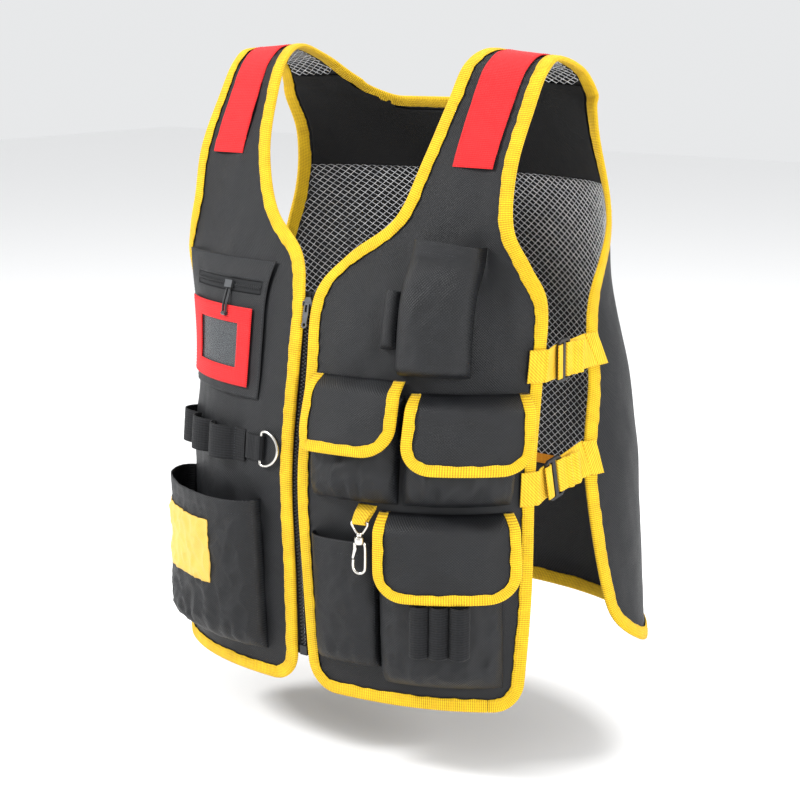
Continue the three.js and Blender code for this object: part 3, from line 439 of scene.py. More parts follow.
def back_panel(a, b):
    p, s = flat_back(a, b)
    wide = np.abs(s)
    beside_neck = wide - inner_edge(np.minimum(p, NECK_BOTTOM))
    from_neck = np.where(p < NECK_BOTTOM, beside_neck, p - NECK_BOTTOM + wide / 3)
    from_edge = np.minimum(np.minimum(outer_edge(p) - wide, HEM - p), from_neck)
    return p, s, panel_folds(p, s, from_edge)


back = shaped_sheet("back", back_columns, BACK_ROWS, back_panel, 1.1, black_cloth, keep_back)
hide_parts("back_panel")

# YOKE FACING
# Inside the back a plain black facing covers the top between the shoulders. It is the same cloth, sewn
# along its lower edge to the net below it.
LINING_LIFT = -1.9
LINING_INSET = 12
YOKE_TOP = 700
YOKE_FOOT = 828
yoke_flat, yoke_keep, yoke_columns = back_place(YOKE_TOP, YOKE_FOOT, LINING_INSET + 2)


def yoke_place(a, b):
    p, s = yoke_flat(a, b)
    return p, s, LINING_LIFT + 0.35 * waves(s / 17, p / 23, 1.1)


facing_cloth = woven("facing cloth", linear(6, 6, 7), linear(24, 25, 27), 0.0023, 0.6)
yoke = shaped_sheet("yoke", yoke_columns, 50, yoke_place, 0.9, facing_cloth, yoke_keep)
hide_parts("yoke_facing")

# NET LINING
# A knitted net of pale grey thread lines the back below the yoke, and two patches of it lie at the
# shoulders. It is open: black cloth shows through its holes. It is tacked along all its edges.
NET_FOOT = 1134
NET_PITCH = 5.4
NET_THREAD = 1.0
net_thread = Finish("net thread", linear(150, 152, 155), 0.8)
thread_spot = net_thread.space()
uneven = net_thread.noise(thread_spot, 160, 3)
thread_tint = net_thread.tint(uneven * 1.6 - 0.2, linear(150, 154, 162), linear(250, 250, 252))
net_thread.feed("Base Color", thread_tint)
net_thread.bump(net_thread.noise(thread_spot, 3000, 2), 0.4, 0.0002)


def open_net(name, low, high, width_at, sides):
    """Threads in diamonds: a grid turned by an eighth, laid on the cloth and kept to the net's outline."""
    shape = bmesh.new()
    half = 460
    count = int(2 * half / NET_PITCH)
    bmesh.ops.create_grid(shape, x_segments=count, y_segments=count, size=half)
    flat = np.array([v.co[:2] for v in shape.verts])
    s = (flat[:, 0] - flat[:, 1]) * math.sqrt(0.5) * 1.12
    p = (flat[:, 0] + flat[:, 1]) * math.sqrt(0.5) * 0.94 + (low + high) / 2
    reach_in, reach_out = width_at(np.clip(p, low, high))
    wide = np.abs(s)
    inside = (p > low - 2) & (p < high + 2) & (wide < reach_out + 2) & (wide > reach_in - 2)
    if sides:
        inside &= np.sign(s) == sides
    p = np.clip(p, low, high)
    s = np.sign(s) * np.clip(wide, reach_in, reach_out)
    shape.verts.ensure_lookup_table()
    gone = [v for v in shape.verts if not inside[v.index]]
    points = cloth(p, s, LINING_LIFT + 0.25 * waves(s / 6, p / 7, 4)) * MM
    for vert, point in zip(shape.verts, points):
        vert.co = point
    bmesh.ops.delete(shape, geom=gone, context="VERTS")
    bmesh.ops.remove_doubles(shape, verts=shape.verts, dist=0.0004)
    piece = finish_sheet(name, shape, 0, net_thread.material)
    threads = piece.modifiers.new("threads", "WIREFRAME")
    threads.thickness = NET_THREAD * MM
    threads.use_even_offset = False
    return piece


def back_net_width(p):
    return np.zeros_like(p), outer_edge(p) - LINING_INSET


def shoulder_net_width(p):
    return inner_edge(p) + LINING_INSET + 1, outer_edge(p) - LINING_INSET


back_net = open_net("net_back", YOKE_FOOT, NET_FOOT, back_net_width, 0)
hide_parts("back_net")
for label, side in (("left", 1), ("right", -1)):
    net_patch = open_net(f"net_shoulder_{label}", SHOULDER + 6, YOKE_TOP, shoulder_net_width, side)
    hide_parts(f"shoulder_net_{label}")

# NET HEM TAPE
# A narrow orange-yellow woven tape finishes the net's lower edge. It lies flat inside the back and is sewn
# through to the back's cloth.


def ribbed(name, dark, light, pitch, strength, twill=0.0, roughness=0.8, across_ribs=False):
    """Narrow woven tape: fine ribs along it or across it, with loose fibres and a mottled dye."""
    made = Finish(name, light, roughness, Sheen_Weight=0.05, Sheen_Roughness=0.4, Specular_IOR_Level=0.35)
    across, along, spot = made.place()
    first, second = (along, across) if across_ribs else (across, along)
    line = first + second * twill
    ribs = (line * (2 * math.pi / pitch)).sine() * 0.5 + 0.5
    ends = (second * (2 * math.pi / (pitch * 1.3))).sine() * 0.5 + 0.5
    mottled = made.noise(spot, 70, 5)
    fibres = made.noise(spot, 1400, 3)
    share = ribs * 0.6 + ends * 0.14 + mottled * 0.5 + fibres * 0.4 - 0.28
    made.feed("Base Color", made.tint(share, dark, light))
    made.feed("Roughness", fibres * 0.3 + (roughness - 0.15))
    made.bump(ribs * 0.8 + ends * 0.3 + fibres * 0.8, strength, 0.0004)
    return made.material


orange_tape = ribbed("orange tape", linear(176, 98, 6), linear(240, 160, 22), 0.0018, 0.5)


def hem_tape_place(a, b):
    p = mix(NET_FOOT - 1.5, NET_FOOT + 8.5, b)
    outer = outer_edge(p) - LINING_INSET
    s = mix(-outer, outer, a)
    return p, s, LINING_LIFT - 0.5 + 0.3 * waves(s / 6, p / 8, 2)


hem_tape = shaped_sheet("net_edge_tape", 200, 5, hem_tape_place, 0.8, orange_tape)
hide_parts("net_hem_tape")

# BINDINGS
# Yellow woven tape is folded over every edge of the cloth and sewn through both sides. It is ribbed along
# its length, and its sewing draws it in, so it waves and puckers; two rows of thread run near its rim.
yellow_tape = ribbed("yellow tape", linear(168, 118, 8), linear(255, 214, 34), 0.0019, 0.9, across_ribs=True)
yellow_thread = Finish("yellow thread", linear(214, 176, 48), 0.7).material
FOLD = [
    (11.0, 1.5), (10.2, 2.05), (7.6, 2.15), (5.2, 2.3), (2.8, 2.25), (0.8, 2.0), (-0.6, 1.3), (-1.0, 0.2),
    (-0.7, -1.1), (0.8, -1.9), (4.0, -2.15), (7.6, -2.1), (10.2, -2.0), (11.0, -1.5)]


def steady(points, step):
    """The same line with its points an even step apart."""
    points = np.asarray(points, float)
    length = np.concatenate([[0], np.cumsum(np.linalg.norm(np.diff(points, axis=0), axis=1))])
    at = np.linspace(0, length[-1], max(int(round(length[-1] / step)), 2) + 1)
    return np.stack([np.interp(at, length, column) for column in points.T], axis=-1), at


def folded_tape(name, line, into, material, width=1.0, lift=None, step=2.4):
    """Tape folded over an edge: line gives its heights and widths, and into the side that the cloth is on."""
    line, at = steady(line, step)
    way = np.gradient(line, axis=0)
    for _ in range(2):
        way[1:-1] = (way[:-2] + 2 * way[1:-1] + way[2:]) / 4
    way /= np.linalg.norm(way, axis=1, keepdims=True)
    inward = np.stack([-way[:, 1], way[:, 0]], axis=-1) * into
    shape, shares = flat_grid(len(FOLD) - 1, len(line) - 1)
    k = np.rint(shares[:, 0] * (len(FOLD) - 1)).astype(int)
    i = np.rint(shares[:, 1] * (len(line) - 1)).astype(int)
    fold = np.array(FOLD)[k]
    rim = np.clip(fold[:, 0] / 11, 0, 1)
    wander = (0.7 * waves(at[i] / 3.1, fold[:, 1], 1.3) + 0.6 * waves(at[i] / 9, fold[:, 1] / 2, 3.1)) * rim
    reach = fold[:, 0] * width + wander * np.where(fold[:, 0] > 9, 1, 0.5)
    p = line[i, 0] + inward[i, 0] * reach
    s = line[i, 1] + inward[i, 1] * reach
    ripple = 0.36 * waves(at[i] / 2.1, fold[:, 0] / 3, 0.4) * np.sin(np.pi * np.clip(rim, 0.05, 0.95))
    base = lift(p, s) if lift else 0
    points = cloth(p, s, base + fold[:, 1] + np.sign(fold[:, 1]) * ripple)
    around = np.concatenate([[0], np.cumsum(np.linalg.norm(np.diff(np.array(FOLD), axis=0), axis=1))])
    lay_out(shape, points, np.stack([around[k], at[i]], axis=-1))
    piece = finish_sheet(name, shape, 0.5, material)
    return piece


def row_of_grains(name, here, above, onward, size, material, rounds):
    """Small rounded grains, one at each point, with their length along onward and their top along above."""
    shape = bmesh.new()
    scale = Matrix.Diagonal((*(half * MM for half in size), 1))
    for point, up, go in zip(here, above - here, onward - here):
        x = Vector(go).normalized()
        z = Vector(up).normalized()
        tilt = Matrix((x, z.cross(x), z)).transposed().to_4x4()
        spot = Matrix.Translation(Vector(point) * MM) @ tilt @ scale
        bmesh.ops.create_icosphere(shape, subdivisions=rounds, radius=1, matrix=spot)
    return finish_sheet(name, shape, 0, material)


def sewn_row(name, line, h, length, every, material, thick=0.55, lift=None):
    """A row of stitches along a line in heights and widths: short rounded threads that sink at both ends."""
    line, at = steady(line, every)
    ahead = np.gradient(line, axis=0)
    base = lift(line[:, 0], line[:, 1]) if lift else 0
    here = cloth(line[:, 0], line[:, 1], base + h)
    above = cloth(line[:, 0], line[:, 1], base + h + 1)
    onward = cloth(line[:, 0] + ahead[:, 0] * 0.3, line[:, 1] + ahead[:, 1] * 0.3, base + h)
    return row_of_grains(name, here, above, onward, (length / 2, thick / 2, thick / 2), material, 1)


QUARTER = np.radians(np.linspace(0, 90, 13))


def round_corner(turns, radius, column, sign, from_hem):
    """A corner of the cloth: its heights, and its widths from the level table's column."""
    heights = from_hem(radius * (1 - np.cos(turns)))
    depths = sign * radius * (1 - np.sin(turns))
    return [(p, level_at(level_of(p))[column] + depth) for p, depth in zip(heights, depths)]


def inner_line(sign):
    """The edge of a front from the inner end of its hem's round corner, up and round half the neck."""
    corner = round_corner(QUARTER, FRONT_INNER_CORNER, 3, 1, lambda depth: depth)
    rows = [(p, float(inner_edge(p))) for p in np.linspace(FRONT_INNER_CORNER + 4, NECK_TOP - 2, 120)]
    neck = [(height_of(NECK_START + math.sin(t)), NECK_HALF + (NECK_WIDE - NECK_HALF) * math.cos(t))
            for t in np.radians(np.linspace(2, 90, 22))]
    return [(p, sign * s) for p, s in corner + rows + neck]


HEM_JOIN = float(outer_edge(0.0)) - 5
BACK_HEM_JOIN = float(outer_edge(HEM)) - 5
left_part = [(0, HEM_JOIN - 0.3)] + inner_line(1)
right_part = [(0, -HEM_JOIN + 0.3)] + inner_line(-1)
neck_line = left_part + right_part[::-1]
neck_binding = folded_tape("binding_neck", neck_line, 1, yellow_tape)
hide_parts("neck_binding")


def outer_line(sign):
    """The edge of one side, from the front hem's corner over the armhole to the back hem's corner."""
    front = round_corner(QUARTER, FRONT_OUTER_CORNER, 4, -1, lambda depth: depth)
    heights = np.linspace(FRONT_OUTER_CORNER + 4, HEM - BACK_CORNER - 4, 200)
    rows = [(p, float(outer_edge(p))) for p in heights]
    end = round_corner(QUARTER[::-1], BACK_CORNER, 4, -1, lambda depth: HEM - depth)
    side = [(0, HEM_JOIN)] + front + rows + end + [(HEM, BACK_HEM_JOIN)]
    return [(p, sign * s) for p, s in side]


def inset_line(line, into, inset):
    line, _ = steady(line, 2)
    way = np.gradient(line, axis=0)
    way /= np.linalg.norm(way, axis=1, keepdims=True)
    return line + np.stack([-way[:, 1], way[:, 0]], axis=-1) * into * inset


sewn_row("thread_neck", inset_line(neck_line, 1, 9), 2.45, 2.1, 3.0, yellow_thread)
for label, sign in (("left", 1), ("right", -1)):
    side_binding = folded_tape(f"binding_side_{label}", outer_line(sign), -sign, yellow_tape)
    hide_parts(f"side_binding_{label}")
    sewn_row(f"thread_side_{label}", inset_line(outer_line(sign), -sign, 9), 2.45, 2.1, 3.0, yellow_thread)
back_line = [(HEM, s) for s in np.linspace(-BACK_HEM_JOIN + 0.3, BACK_HEM_JOIN - 0.3, 60)]
back_binding = folded_tape("binding_back_hem", back_line, 1, yellow_tape)
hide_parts("back_hem_binding")
sewn_row("thread_back_hem", [(HEM - 9, s) for _, s in back_line], 2.45, 2.1, 3.0, yellow_thread)

# SHOULDER STRIPS
# A red woven tape 39 mm wide lies over each shoulder. It is hemmed at its front end and sewn to the cloth
# along both edges with red thread.
STRIP_FOOT = 490
STRIP_TOP = 690
red_tape = ribbed("red tape", linear(170, 14, 22), linear(252, 44, 46), 0.0018, 0.8, across_ribs=True)
red_thread = Finish("red thread", linear(196, 34, 36), 0.7).material
STRIP_HALF = 19.5


def strip_middle(p, sign):
    return sign * (140 + (p - STRIP_FOOT) * 0.028)


for label, sign in (("left", 1), ("right", -1)):

    def strip_place(a, b, sign=sign):
        p = mix(STRIP_FOOT, STRIP_TOP, b)
        s = strip_middle(p, sign) + mix(-STRIP_HALF, STRIP_HALF, a)
        edge = np.abs(2 * a - 1)
        hem = np.clip(1 - (p - STRIP_FOOT) / 3, 0, 1) + (p < STRIP_FOOT + 13) * 1.0
        return p, s, 1.9 + 0.25 * waves(p / 4, s / 8, 3) * edge + 0.45 * np.minimum(hem, 1)

    strip = shaped_sheet(f"strip_{label}", 26, 100, strip_place, 1.0, red_tape)
    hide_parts(f"shoulder_strip_{label}")
    for edge in (-17.6, 17.6):
        heights = np.linspace(STRIP_FOOT + 2, STRIP_TOP - 2, 40)
        line = [(p, strip_middle(p, sign) + edge) for p in heights]
        sewn_row(f"thread_strip_{label}_{'in' if edge < 0 else 'out'}", line, 2.55, 2.0, 3.0, red_thread, 0.5)
    line = [(STRIP_FOOT + 12, sign * 140.3 + x) for x in np.linspace(-17, 17, 12)]
    sewn_row(f"thread_strip_{label}_hem", line, 3.0, 2.0, 3.0, red_thread, 0.5)

# FRONT ZIP
# A black coil zip closes the front. Each front carries a plain woven tape behind its binding, and the two
# rows of coils, wound from plastic thread, mesh between the bindings.
ZIP_FOOT = 28
ZIP_TOP = 366
ZIP_CHAIN_TOP = 346.5
zip_cloth = ribbed("zip tape", linear(6, 6, 8), linear(28, 30, 33), 0.0016, 0.5)
coil_plastic = Finish("zip coils", linear(24, 25, 28), 0.36).material
for label, sign in (("left", 1), ("right", -1)):

    def tape_place(a, b, sign=sign):
        s = mix(0.4, 16, a) if sign > 0 else mix(-16, -0.4, a)
        return mix(ZIP_FOOT, ZIP_TOP, b), s, -3.4 + 0.12 * waves(b * 90, a * 3, 1)

    tape = shaped_sheet(f"zip_side_{label}", 8, 140, tape_place, 0.8, zip_cloth)
    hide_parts(f"zip_tape_{label}")


COIL_PITCH = 1.7
coil_heights = np.arange(38.5, ZIP_CHAIN_TOP, COIL_PITCH)
coil_sides = np.where(np.arange(len(coil_heights)) % 2 == 0, 1.15, -1.15)
COIL_LIFT = -1.3
coil_here = cloth(coil_heights, coil_sides, COIL_LIFT)
coil_above = cloth(coil_heights, coil_sides, COIL_LIFT + 1)
coil_across = cloth(coil_heights, coil_sides + 1, COIL_LIFT)
coils = row_of_grains("zip_coils", coil_here, coil_above, coil_across, (1.75, 0.8, 0.75), coil_plastic, 2)
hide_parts("zip_chain")

# ZIP METAL
# The slider, its pull and the bottom box stay as the frame has them: cast metal with a dark plated finish,
# and a black moulded box.
gunmetal = Finish("gunmetal", linear(120, 122, 124), 0.32, 1.0)
metal_spot = gunmetal.space()
gunmetal.feed("Roughness", gunmetal.noise(metal_spot, 300, 4) * 0.25 + 0.2)
gunmetal.bump(gunmetal.noise(metal_spot, 1500, 2), 0.08, 0.0001)
steel = Finish("steel", linear(214, 211, 205), 0.22, 1.0)
steel_spot = steel.space()
steel.feed("Roughness", steel.noise(steel_spot, 250, 4) * 0.22 + 0.12)
steel.bump(steel.noise(steel_spot, 1200, 2), 0.05, 0.0001)
black_plastic = Finish("black plastic", linear(24, 25, 28), 0.42)
plastic_spot = black_plastic.space()
black_plastic.feed("Roughness", black_plastic.noise(plastic_spot, 500, 3) * 0.2 + 0.32)
black_plastic.bump(black_plastic.noise(plastic_spot, 2500, 2), 0.12, 0.0001)


def dress_node(name, material, bevel):
    """A hard piece of the frame gets its finish, and its edges are blunted."""
    node = frame["nodes"][name]
    node.data.materials.clear()
    node.data.materials.append(material)
    if bevel:
        blunt = node.modifiers.new("blunt", "BEVEL")
        blunt.width = bevel * MM
        blunt.segments = 2
        blunt.limit_method = "ANGLE"
        blunt.angle_limit = math.radians(40)
        blunt.harden_normals = False


for node_name, finish, bevel in (
        ("zip_slider", gunmetal, 0.25), ("zip_pull", gunmetal, 0.2), ("zip_bottom_stop", black_plastic, 0.6),
        ("chest_zip_slider", gunmetal, 0.7)):
    dress_node(node_name, finish.material, bevel)

# CHEST PATCH
# The wearer's right chest has a patch of the black cloth over a flat pocket. A short zip crosses its top,
# and below it a red woven frame holds a clear flexible window for a card.
PATCH_LIFT = 2.7
black_thread = Finish("black thread", linear(58, 61, 66), 0.6).material


def flat_place(left, right, foot, top, lift, amount, seed):
    def place(a, b):
        p = mix(foot, top, b)
        s = mix(left, right, a)
        return p, s, lift + amount * waves(s / 9, p / 12, seed)
    return place


def stepped(stops, spacing):
    """Even steps of about the spacing between each stop and the next, with every stop kept."""
    rows = [np.linspace(a, b, max(int((b - a) / spacing), 1) + 1)[:-1] for a, b in zip(stops[:-1], stops[1:])]
    return np.concatenate(rows + [stops[-1:]])


def flat_with_hole(name, area, hole, lift, wall, material, amount=0.2, seed=1.0, spacing=2.4):
    """A sheet on the chest with a rectangular hole; rows and columns fall on the hole's edges."""
    left, right, foot, top = area
    across = stepped((left, hole[0], hole[1], right), spacing)
    upward = stepped((foot, hole[2], hole[3], top), spacing)

    def place(a, b):
        s = across[np.rint(a * (len(across) - 1)).astype(int)]
        p = upward[np.rint(b * (len(upward) - 1)).astype(int)]
        return p, s, lift + amount * waves(s / 9, p / 12, seed)

    return shaped_sheet(name, len(across) - 1, len(upward) - 1, place, wall, material, hole=hole)


ZIP_HOLE = (-166, -56, 356, 368)
chest_patch = flat_with_hole("patch", (-195, -49, 262, 389), ZIP_HOLE, PATCH_LIFT, 1.0, black_cloth, 0.35)
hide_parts("chest_patch")
patch_border = [(264, -193), (387, -193), (387, -51), (264, -51), (264, -193)]
sewn_row("thread_patch", patch_border, PATCH_LIFT + 0.6, 2.0, 3.0, black_thread, 0.5)
welt = [(369.6, -167.5), (369.6, -54.5)]
sewn_row("thread_welt", welt, PATCH_LIFT + 0.6, 2.0, 3.0, black_thread, 0.5)
chest_tape_place = flat_place(-165.6, -56.4, 356.4, 367.6, PATCH_LIFT - 0.5, 0.05, 1)
chest_tape = shaped_sheet("patch_zip", 60, 8, chest_tape_place, 0.7, zip_cloth)
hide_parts("chest_zip")
# The chest zip's coils lie upright, side by side along its width.
tooth_widths = np.arange(-164.5, -57, 1.5)
tooth_heights = np.where(np.arange(len(tooth_widths)) % 2 == 0, 361.3, 362.7)
tooth_here = cloth(tooth_heights, tooth_widths, PATCH_LIFT + 0.25)
tooth_above = cloth(tooth_heights, tooth_widths, PATCH_LIFT + 1.25)
tooth_up = cloth(tooth_heights + 1, tooth_widths, PATCH_LIFT + 0.25)
row_of_grains("patch_coils", tooth_here, tooth_above, tooth_up, (1.5, 0.62, 0.55), coil_plastic, 2)
CARD_HOLE = (-151, -81, 287, 328)
red_frame = flat_with_hole("card_frame", (-181, -63, 271, 343), CARD_HOLE, 5.2, 1.0, red_tape, 0.15)
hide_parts("id_frame")
frame_border = [(273, -179), (341, -179), (341, -65), (273, -65), (273, -179)]
sewn_row("thread_frame_outer", frame_border, 5.8, 2.0, 3.0, red_thread, 0.5)
window_border = [(285, -153), (330, -153), (330, -79), (285, -79), (285, -153)]
sewn_row("thread_frame_inner", window_border, 5.8, 2.0, 3.0, red_thread, 0.5)
clear = Finish("clear window", linear(120, 124, 128), 0.08, Alpha=0.2, Specular_IOR_Level=0.9)
clear_spot = clear.space()
clear.bump(clear.noise(clear_spot, 30, 1), 0.3, 0.001)
window_place = flat_place(-157, -75, 281, 334, 3.85, 0.12, 5)
window = shaped_sheet("card_window", 36, 24, window_place, 0.4, clear.material)
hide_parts("id_window")

# CHEST ZIP CORD
# Two strands of shiny black cord hang from the chest zip's slider. They are knotted at their end and tucked
# behind the red frame.
cord_finish = Finish("cord", linear(30, 31, 34), 0.32, Sheen_Weight=0.2)
cord_spot = cord_finish.space()
cord_finish.bump(cord_finish.noise(cord_spot, 1800, 2), 0.35, 0.0002)


def wire(name, points, radius, material, closed=False, order=3):
    """A round wire or cord of one radius through the given points, in millimetres."""
    line = bpy.data.curves.new(name, "CURVE")
    line.dimensions = "3D"
    line.bevel_depth = radius * MM
    line.bevel_resolution = 5
    line.use_fill_caps = True
    line.resolution_u = 12
    course = line.splines.new("NURBS")
    course.points.add(len(points) - 1)
    for spot, point in zip(course.points, points):
        spot.co = (*(float(v) * MM for v in point), 1)
    course.use_cyclic_u = closed
    course.use_endpoint_u = not closed
    course.order_u = order
    line.materials.append(material)
    piece = bpy.data.objects.new(name, line)
    bpy.context.scene.collection.objects.link(piece)
    return piece


strand_route = [(357.5, 4.8), (350, 6), (343, 7.8), (335, 7.6)]
strands = [wire(f"zip_cord_{k}", [cloth(p, -100 + x, h) for p, h in strand_route], 1.1, cord_finish.material)
           for k, x in ((1, -2.2), (2, 2.2))]
knot_route = [cloth(335, -100 + x, 7.6) for x in (-3.2, -1, 1, 3.2)]
wire("zip_cord_knot", knot_route, 1.9, cord_finish.material)
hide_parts("chest_zip_cord")

# POCKETS
# Seven pockets of the black cloth are sewn on at their sides and foot and stand open at the mouth. The
# larger ones are gathered or pleated at the foot, so their cloth crumples and stands off the front.
POCKETS = {
    "tool_pocket": dict(left=-200, right=-43, foot=27, mouth=172, deep=28, mouth_deep=27, square=2.7),
    "knife_pocket": dict(left=100, right=162, foot=300, mouth=420, deep=25, mouth_deep=23, square=3.6),
    "pen_sleeve": dict(left=82, right=97.5, foot=322, mouth=371, deep=10, mouth_deep=10, square=2.2),
    "flap_pocket_inner": dict(left=24, right=107, foot=187, mouth=281, deep=19, mouth_deep=9, square=2.8),
    "flap_pocket_outer": dict(left=113, right=206, foot=187, mouth=272, deep=23, mouth_deep=11, square=2.8),
    "scissor_pocket": dict(left=22, right=86, foot=34, mouth=153, deep=14.4, mouth_deep=13, square=2.6),
    "cargo_pocket": dict(left=90, right=196, foot=22, mouth=165, deep=23, mouth_deep=12, square=2.8),
}
# How high each pocket's foot rounds up, and how far its cloth crumples
POCKET_CLOTH = {
    "tool_pocket": (26, 2.3), "knife_pocket": (9, 1.1), "pen_sleeve": (6, 0.3),
    "flap_pocket_inner": (22, 2.7), "flap_pocket_outer": (24, 3.0), "scissor_pocket": (15, 1.4),
    "cargo_pocket": (26, 3.0)}
for name, pocket in POCKETS.items():
    pocket["climb"], pocket["crumple"] = POCKET_CLOTH[name]


def pocket_rise(p, pocket):
    climb = np.clip((p - pocket["foot"]) / pocket["climb"], 0, 1)
    up = np.clip((p - pocket["foot"] - pocket["climb"]) / (pocket["mouth"] - pocket["foot"]), 0, 1)
    return np.sqrt(1 - (1 - climb) ** 2) * mix(pocket["deep"], pocket["mouth_deep"], up ** 1.5)


def pocket_lift(p, s, pocket):
    x = np.clip(np.abs((2 * s - pocket["left"] - pocket["right"]) / (pocket["right"] - pocket["left"])), 0, 1)
    seat = 1.3 if pocket["right"] - pocket["left"] < 20 else 1.6
    return seat + pocket_rise(p, pocket) * (1 - x ** pocket["square"]) ** (1 / pocket["square"])


def pocket_place(name, pocket):
    seed = sum(map(ord, name)) % 17

    def place(a, b):
        s = mix(pocket["left"], pocket["right"], (1 - np.cos(a * np.pi)) / 2)
        p = mix(pocket["foot"], pocket["mouth"], b ** 1.15)
        inside = np.sin(np.clip(a, 0.0, 1.0) * np.pi) ** 0.6 * np.clip(b * 6, 0, 1)
        high = (p - pocket["foot"]) / (pocket["mouth"] - pocket["foot"])
        gathers = 0.9 * pocket["crumple"] * np.sin(s / 2.6 + 1.3 * np.sin(s / 11))
        gathers = gathers * np.exp(-((high / 0.2) ** 2))
        slack = creases(s / 6.5, p / 11, seed) + 0.6 * creases((s + 0.8 * p) / 7, (p - s) / 9, seed + 2)
        crumple = pocket["crumple"] * (0.62 * slack + 0.5 * waves(s / 8, p / 12, seed + 1))
        if name == "cargo_pocket":
            crumple = crumple * (1 - 0.85 * np.exp(-(((s - 144.5) / 33) ** 4) - ((p - 80) / 34) ** 4))
            gathers = gathers * (1 - 0.8 * np.exp(-(((s - 144.5) / 33) ** 4)))
        hem = np.clip((p - pocket["mouth"] + 14) / 1.2, 0, 1) * 0.5
        sink = 0.6 * np.exp(-(((p - pocket["mouth"] + 12.5) / 1.6) ** 2))
        calm = 1 - 0.65 * np.clip((high - 0.8) / 0.15, 0, 1)
        folds = inside * (crumple * calm + gathers) + (hem - sink) * inside
        return p, s, pocket_lift(p, s, pocket) - 0.8 + folds
    return place


for name, pocket in POCKETS.items():
    wide = pocket["right"] - pocket["left"]
    tall = pocket["mouth"] - pocket["foot"]
    columns = int(np.clip(wide / 1.7, 20, 92))
    rows = int(np.clip(tall / 1.9, 20, 76))
    piece = shaped_sheet(f"{name}_cloth", columns, rows, pocket_place(name, pocket), 1.1, black_cloth)
    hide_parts(name)
    seam = [(p, pocket["left"] + 1.4) for p in np.linspace(pocket["mouth"] - 2, pocket["foot"] + 2, 20)]
    seam += [(pocket["foot"] + 1.4, s) for s in np.linspace(pocket["left"] + 3, pocket["right"] - 3, 20)]
    seam += [(p, pocket["right"] - 1.4) for p in np.linspace(pocket["foot"] + 2, pocket["mouth"] - 2, 20)]

    def seam_lift(p, s, pocket=pocket):
        return pocket_lift(p, s, pocket) - 0.1

    sewn_row(f"{name}_thread", seam, 0.15, 1.9, 2.9, black_thread, 0.5, seam_lift)
    if wide > 20:
        widths = np.linspace(pocket["left"] + 4, pocket["right"] - 4, 30)
        mouth_line = [(pocket["mouth"] - 12.5, s) for s in widths]
        sewn_row(f"{name}_mouth_thread", mouth_line, -0.4, 1.9, 2.9, black_thread, 0.5, seam_lift)

# POCKET PATCH
# A bare yellow patch of coated fabric lies on the lower pocket of the wearer's right front. It is sewn flat
# to the pocket's cloth.
plain_label = woven("yellow patch", linear(214, 168, 62), linear(236, 202, 104), 0.0016, 0.25, 0.45, 30)
tool_pocket = POCKETS["tool_pocket"]


def label_place(a, b):
    s = mix(-168, -86, a)
    p = mix(88, 149, b)
    wide = tool_pocket["right"] - tool_pocket["left"]
    tall = tool_pocket["mouth"] - tool_pocket["foot"]
    share_across = np.arccos(np.clip(1 - 2 * (s - tool_pocket["left"]) / wide, -1, 1)) / np.pi
    share_up = ((p - tool_pocket["foot"]) / tall) ** (1 / 1.15)
    _, _, cloth_lift = pocket_place("tool_pocket", tool_pocket)(share_across, share_up)
    return p, s, cloth_lift + 1.25


label_piece = shaped_sheet("patch_yellow", 44, 34, label_place, 0.7, plain_label)
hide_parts("pocket_label")

# FLAPS
# Three flaps of the black cloth hang over their pockets' mouths, sewn on above them. Their two sides and
# rounded foot are bound with the yellow tape, which stiffens and curls their edge.
FLAPS = {
    "flap_inner": dict(left=20, right=106, top=295, foot=229, corner=26, lean=0.35, seat=0.6),
    "flap_outer": dict(left=114, right=213, top=285, foot=218, corner=24, lean=1, seat=0.6),
    "cargo_flap": dict(left=92, right=207, top=180, foot=106, corner=26, lean=1, seat=0.2),
}
FLAP_POCKETS = {
    "flap_inner": "flap_pocket_inner", "flap_outer": "flap_pocket_outer", "cargo_flap": "cargo_pocket"}
FLAP_LEAD = 16


def flap_lift(flap, pocket):
    middle = (flap["left"] + flap["right"]) / 2

    def lift(p, s):
        down = np.clip((flap["top"] - p) / FLAP_LEAD, 0, 1)
        x = np.abs(s - middle) / (flap["right"] - flap["left"]) * 2
        stand = pocket_rise(np.minimum(p, pocket["mouth"] - 2), pocket) + 4
        return 3.2 + flap["seat"] + stand * np.sin(down * np.pi / 2) * (1 - 0.12 * x ** 3)
    return lift


def flap_edges(flap, p):
    cut = corner_inset(flap["corner"], p - flap["foot"])
    return flap["left"] + cut * flap["lean"], flap["right"] - cut


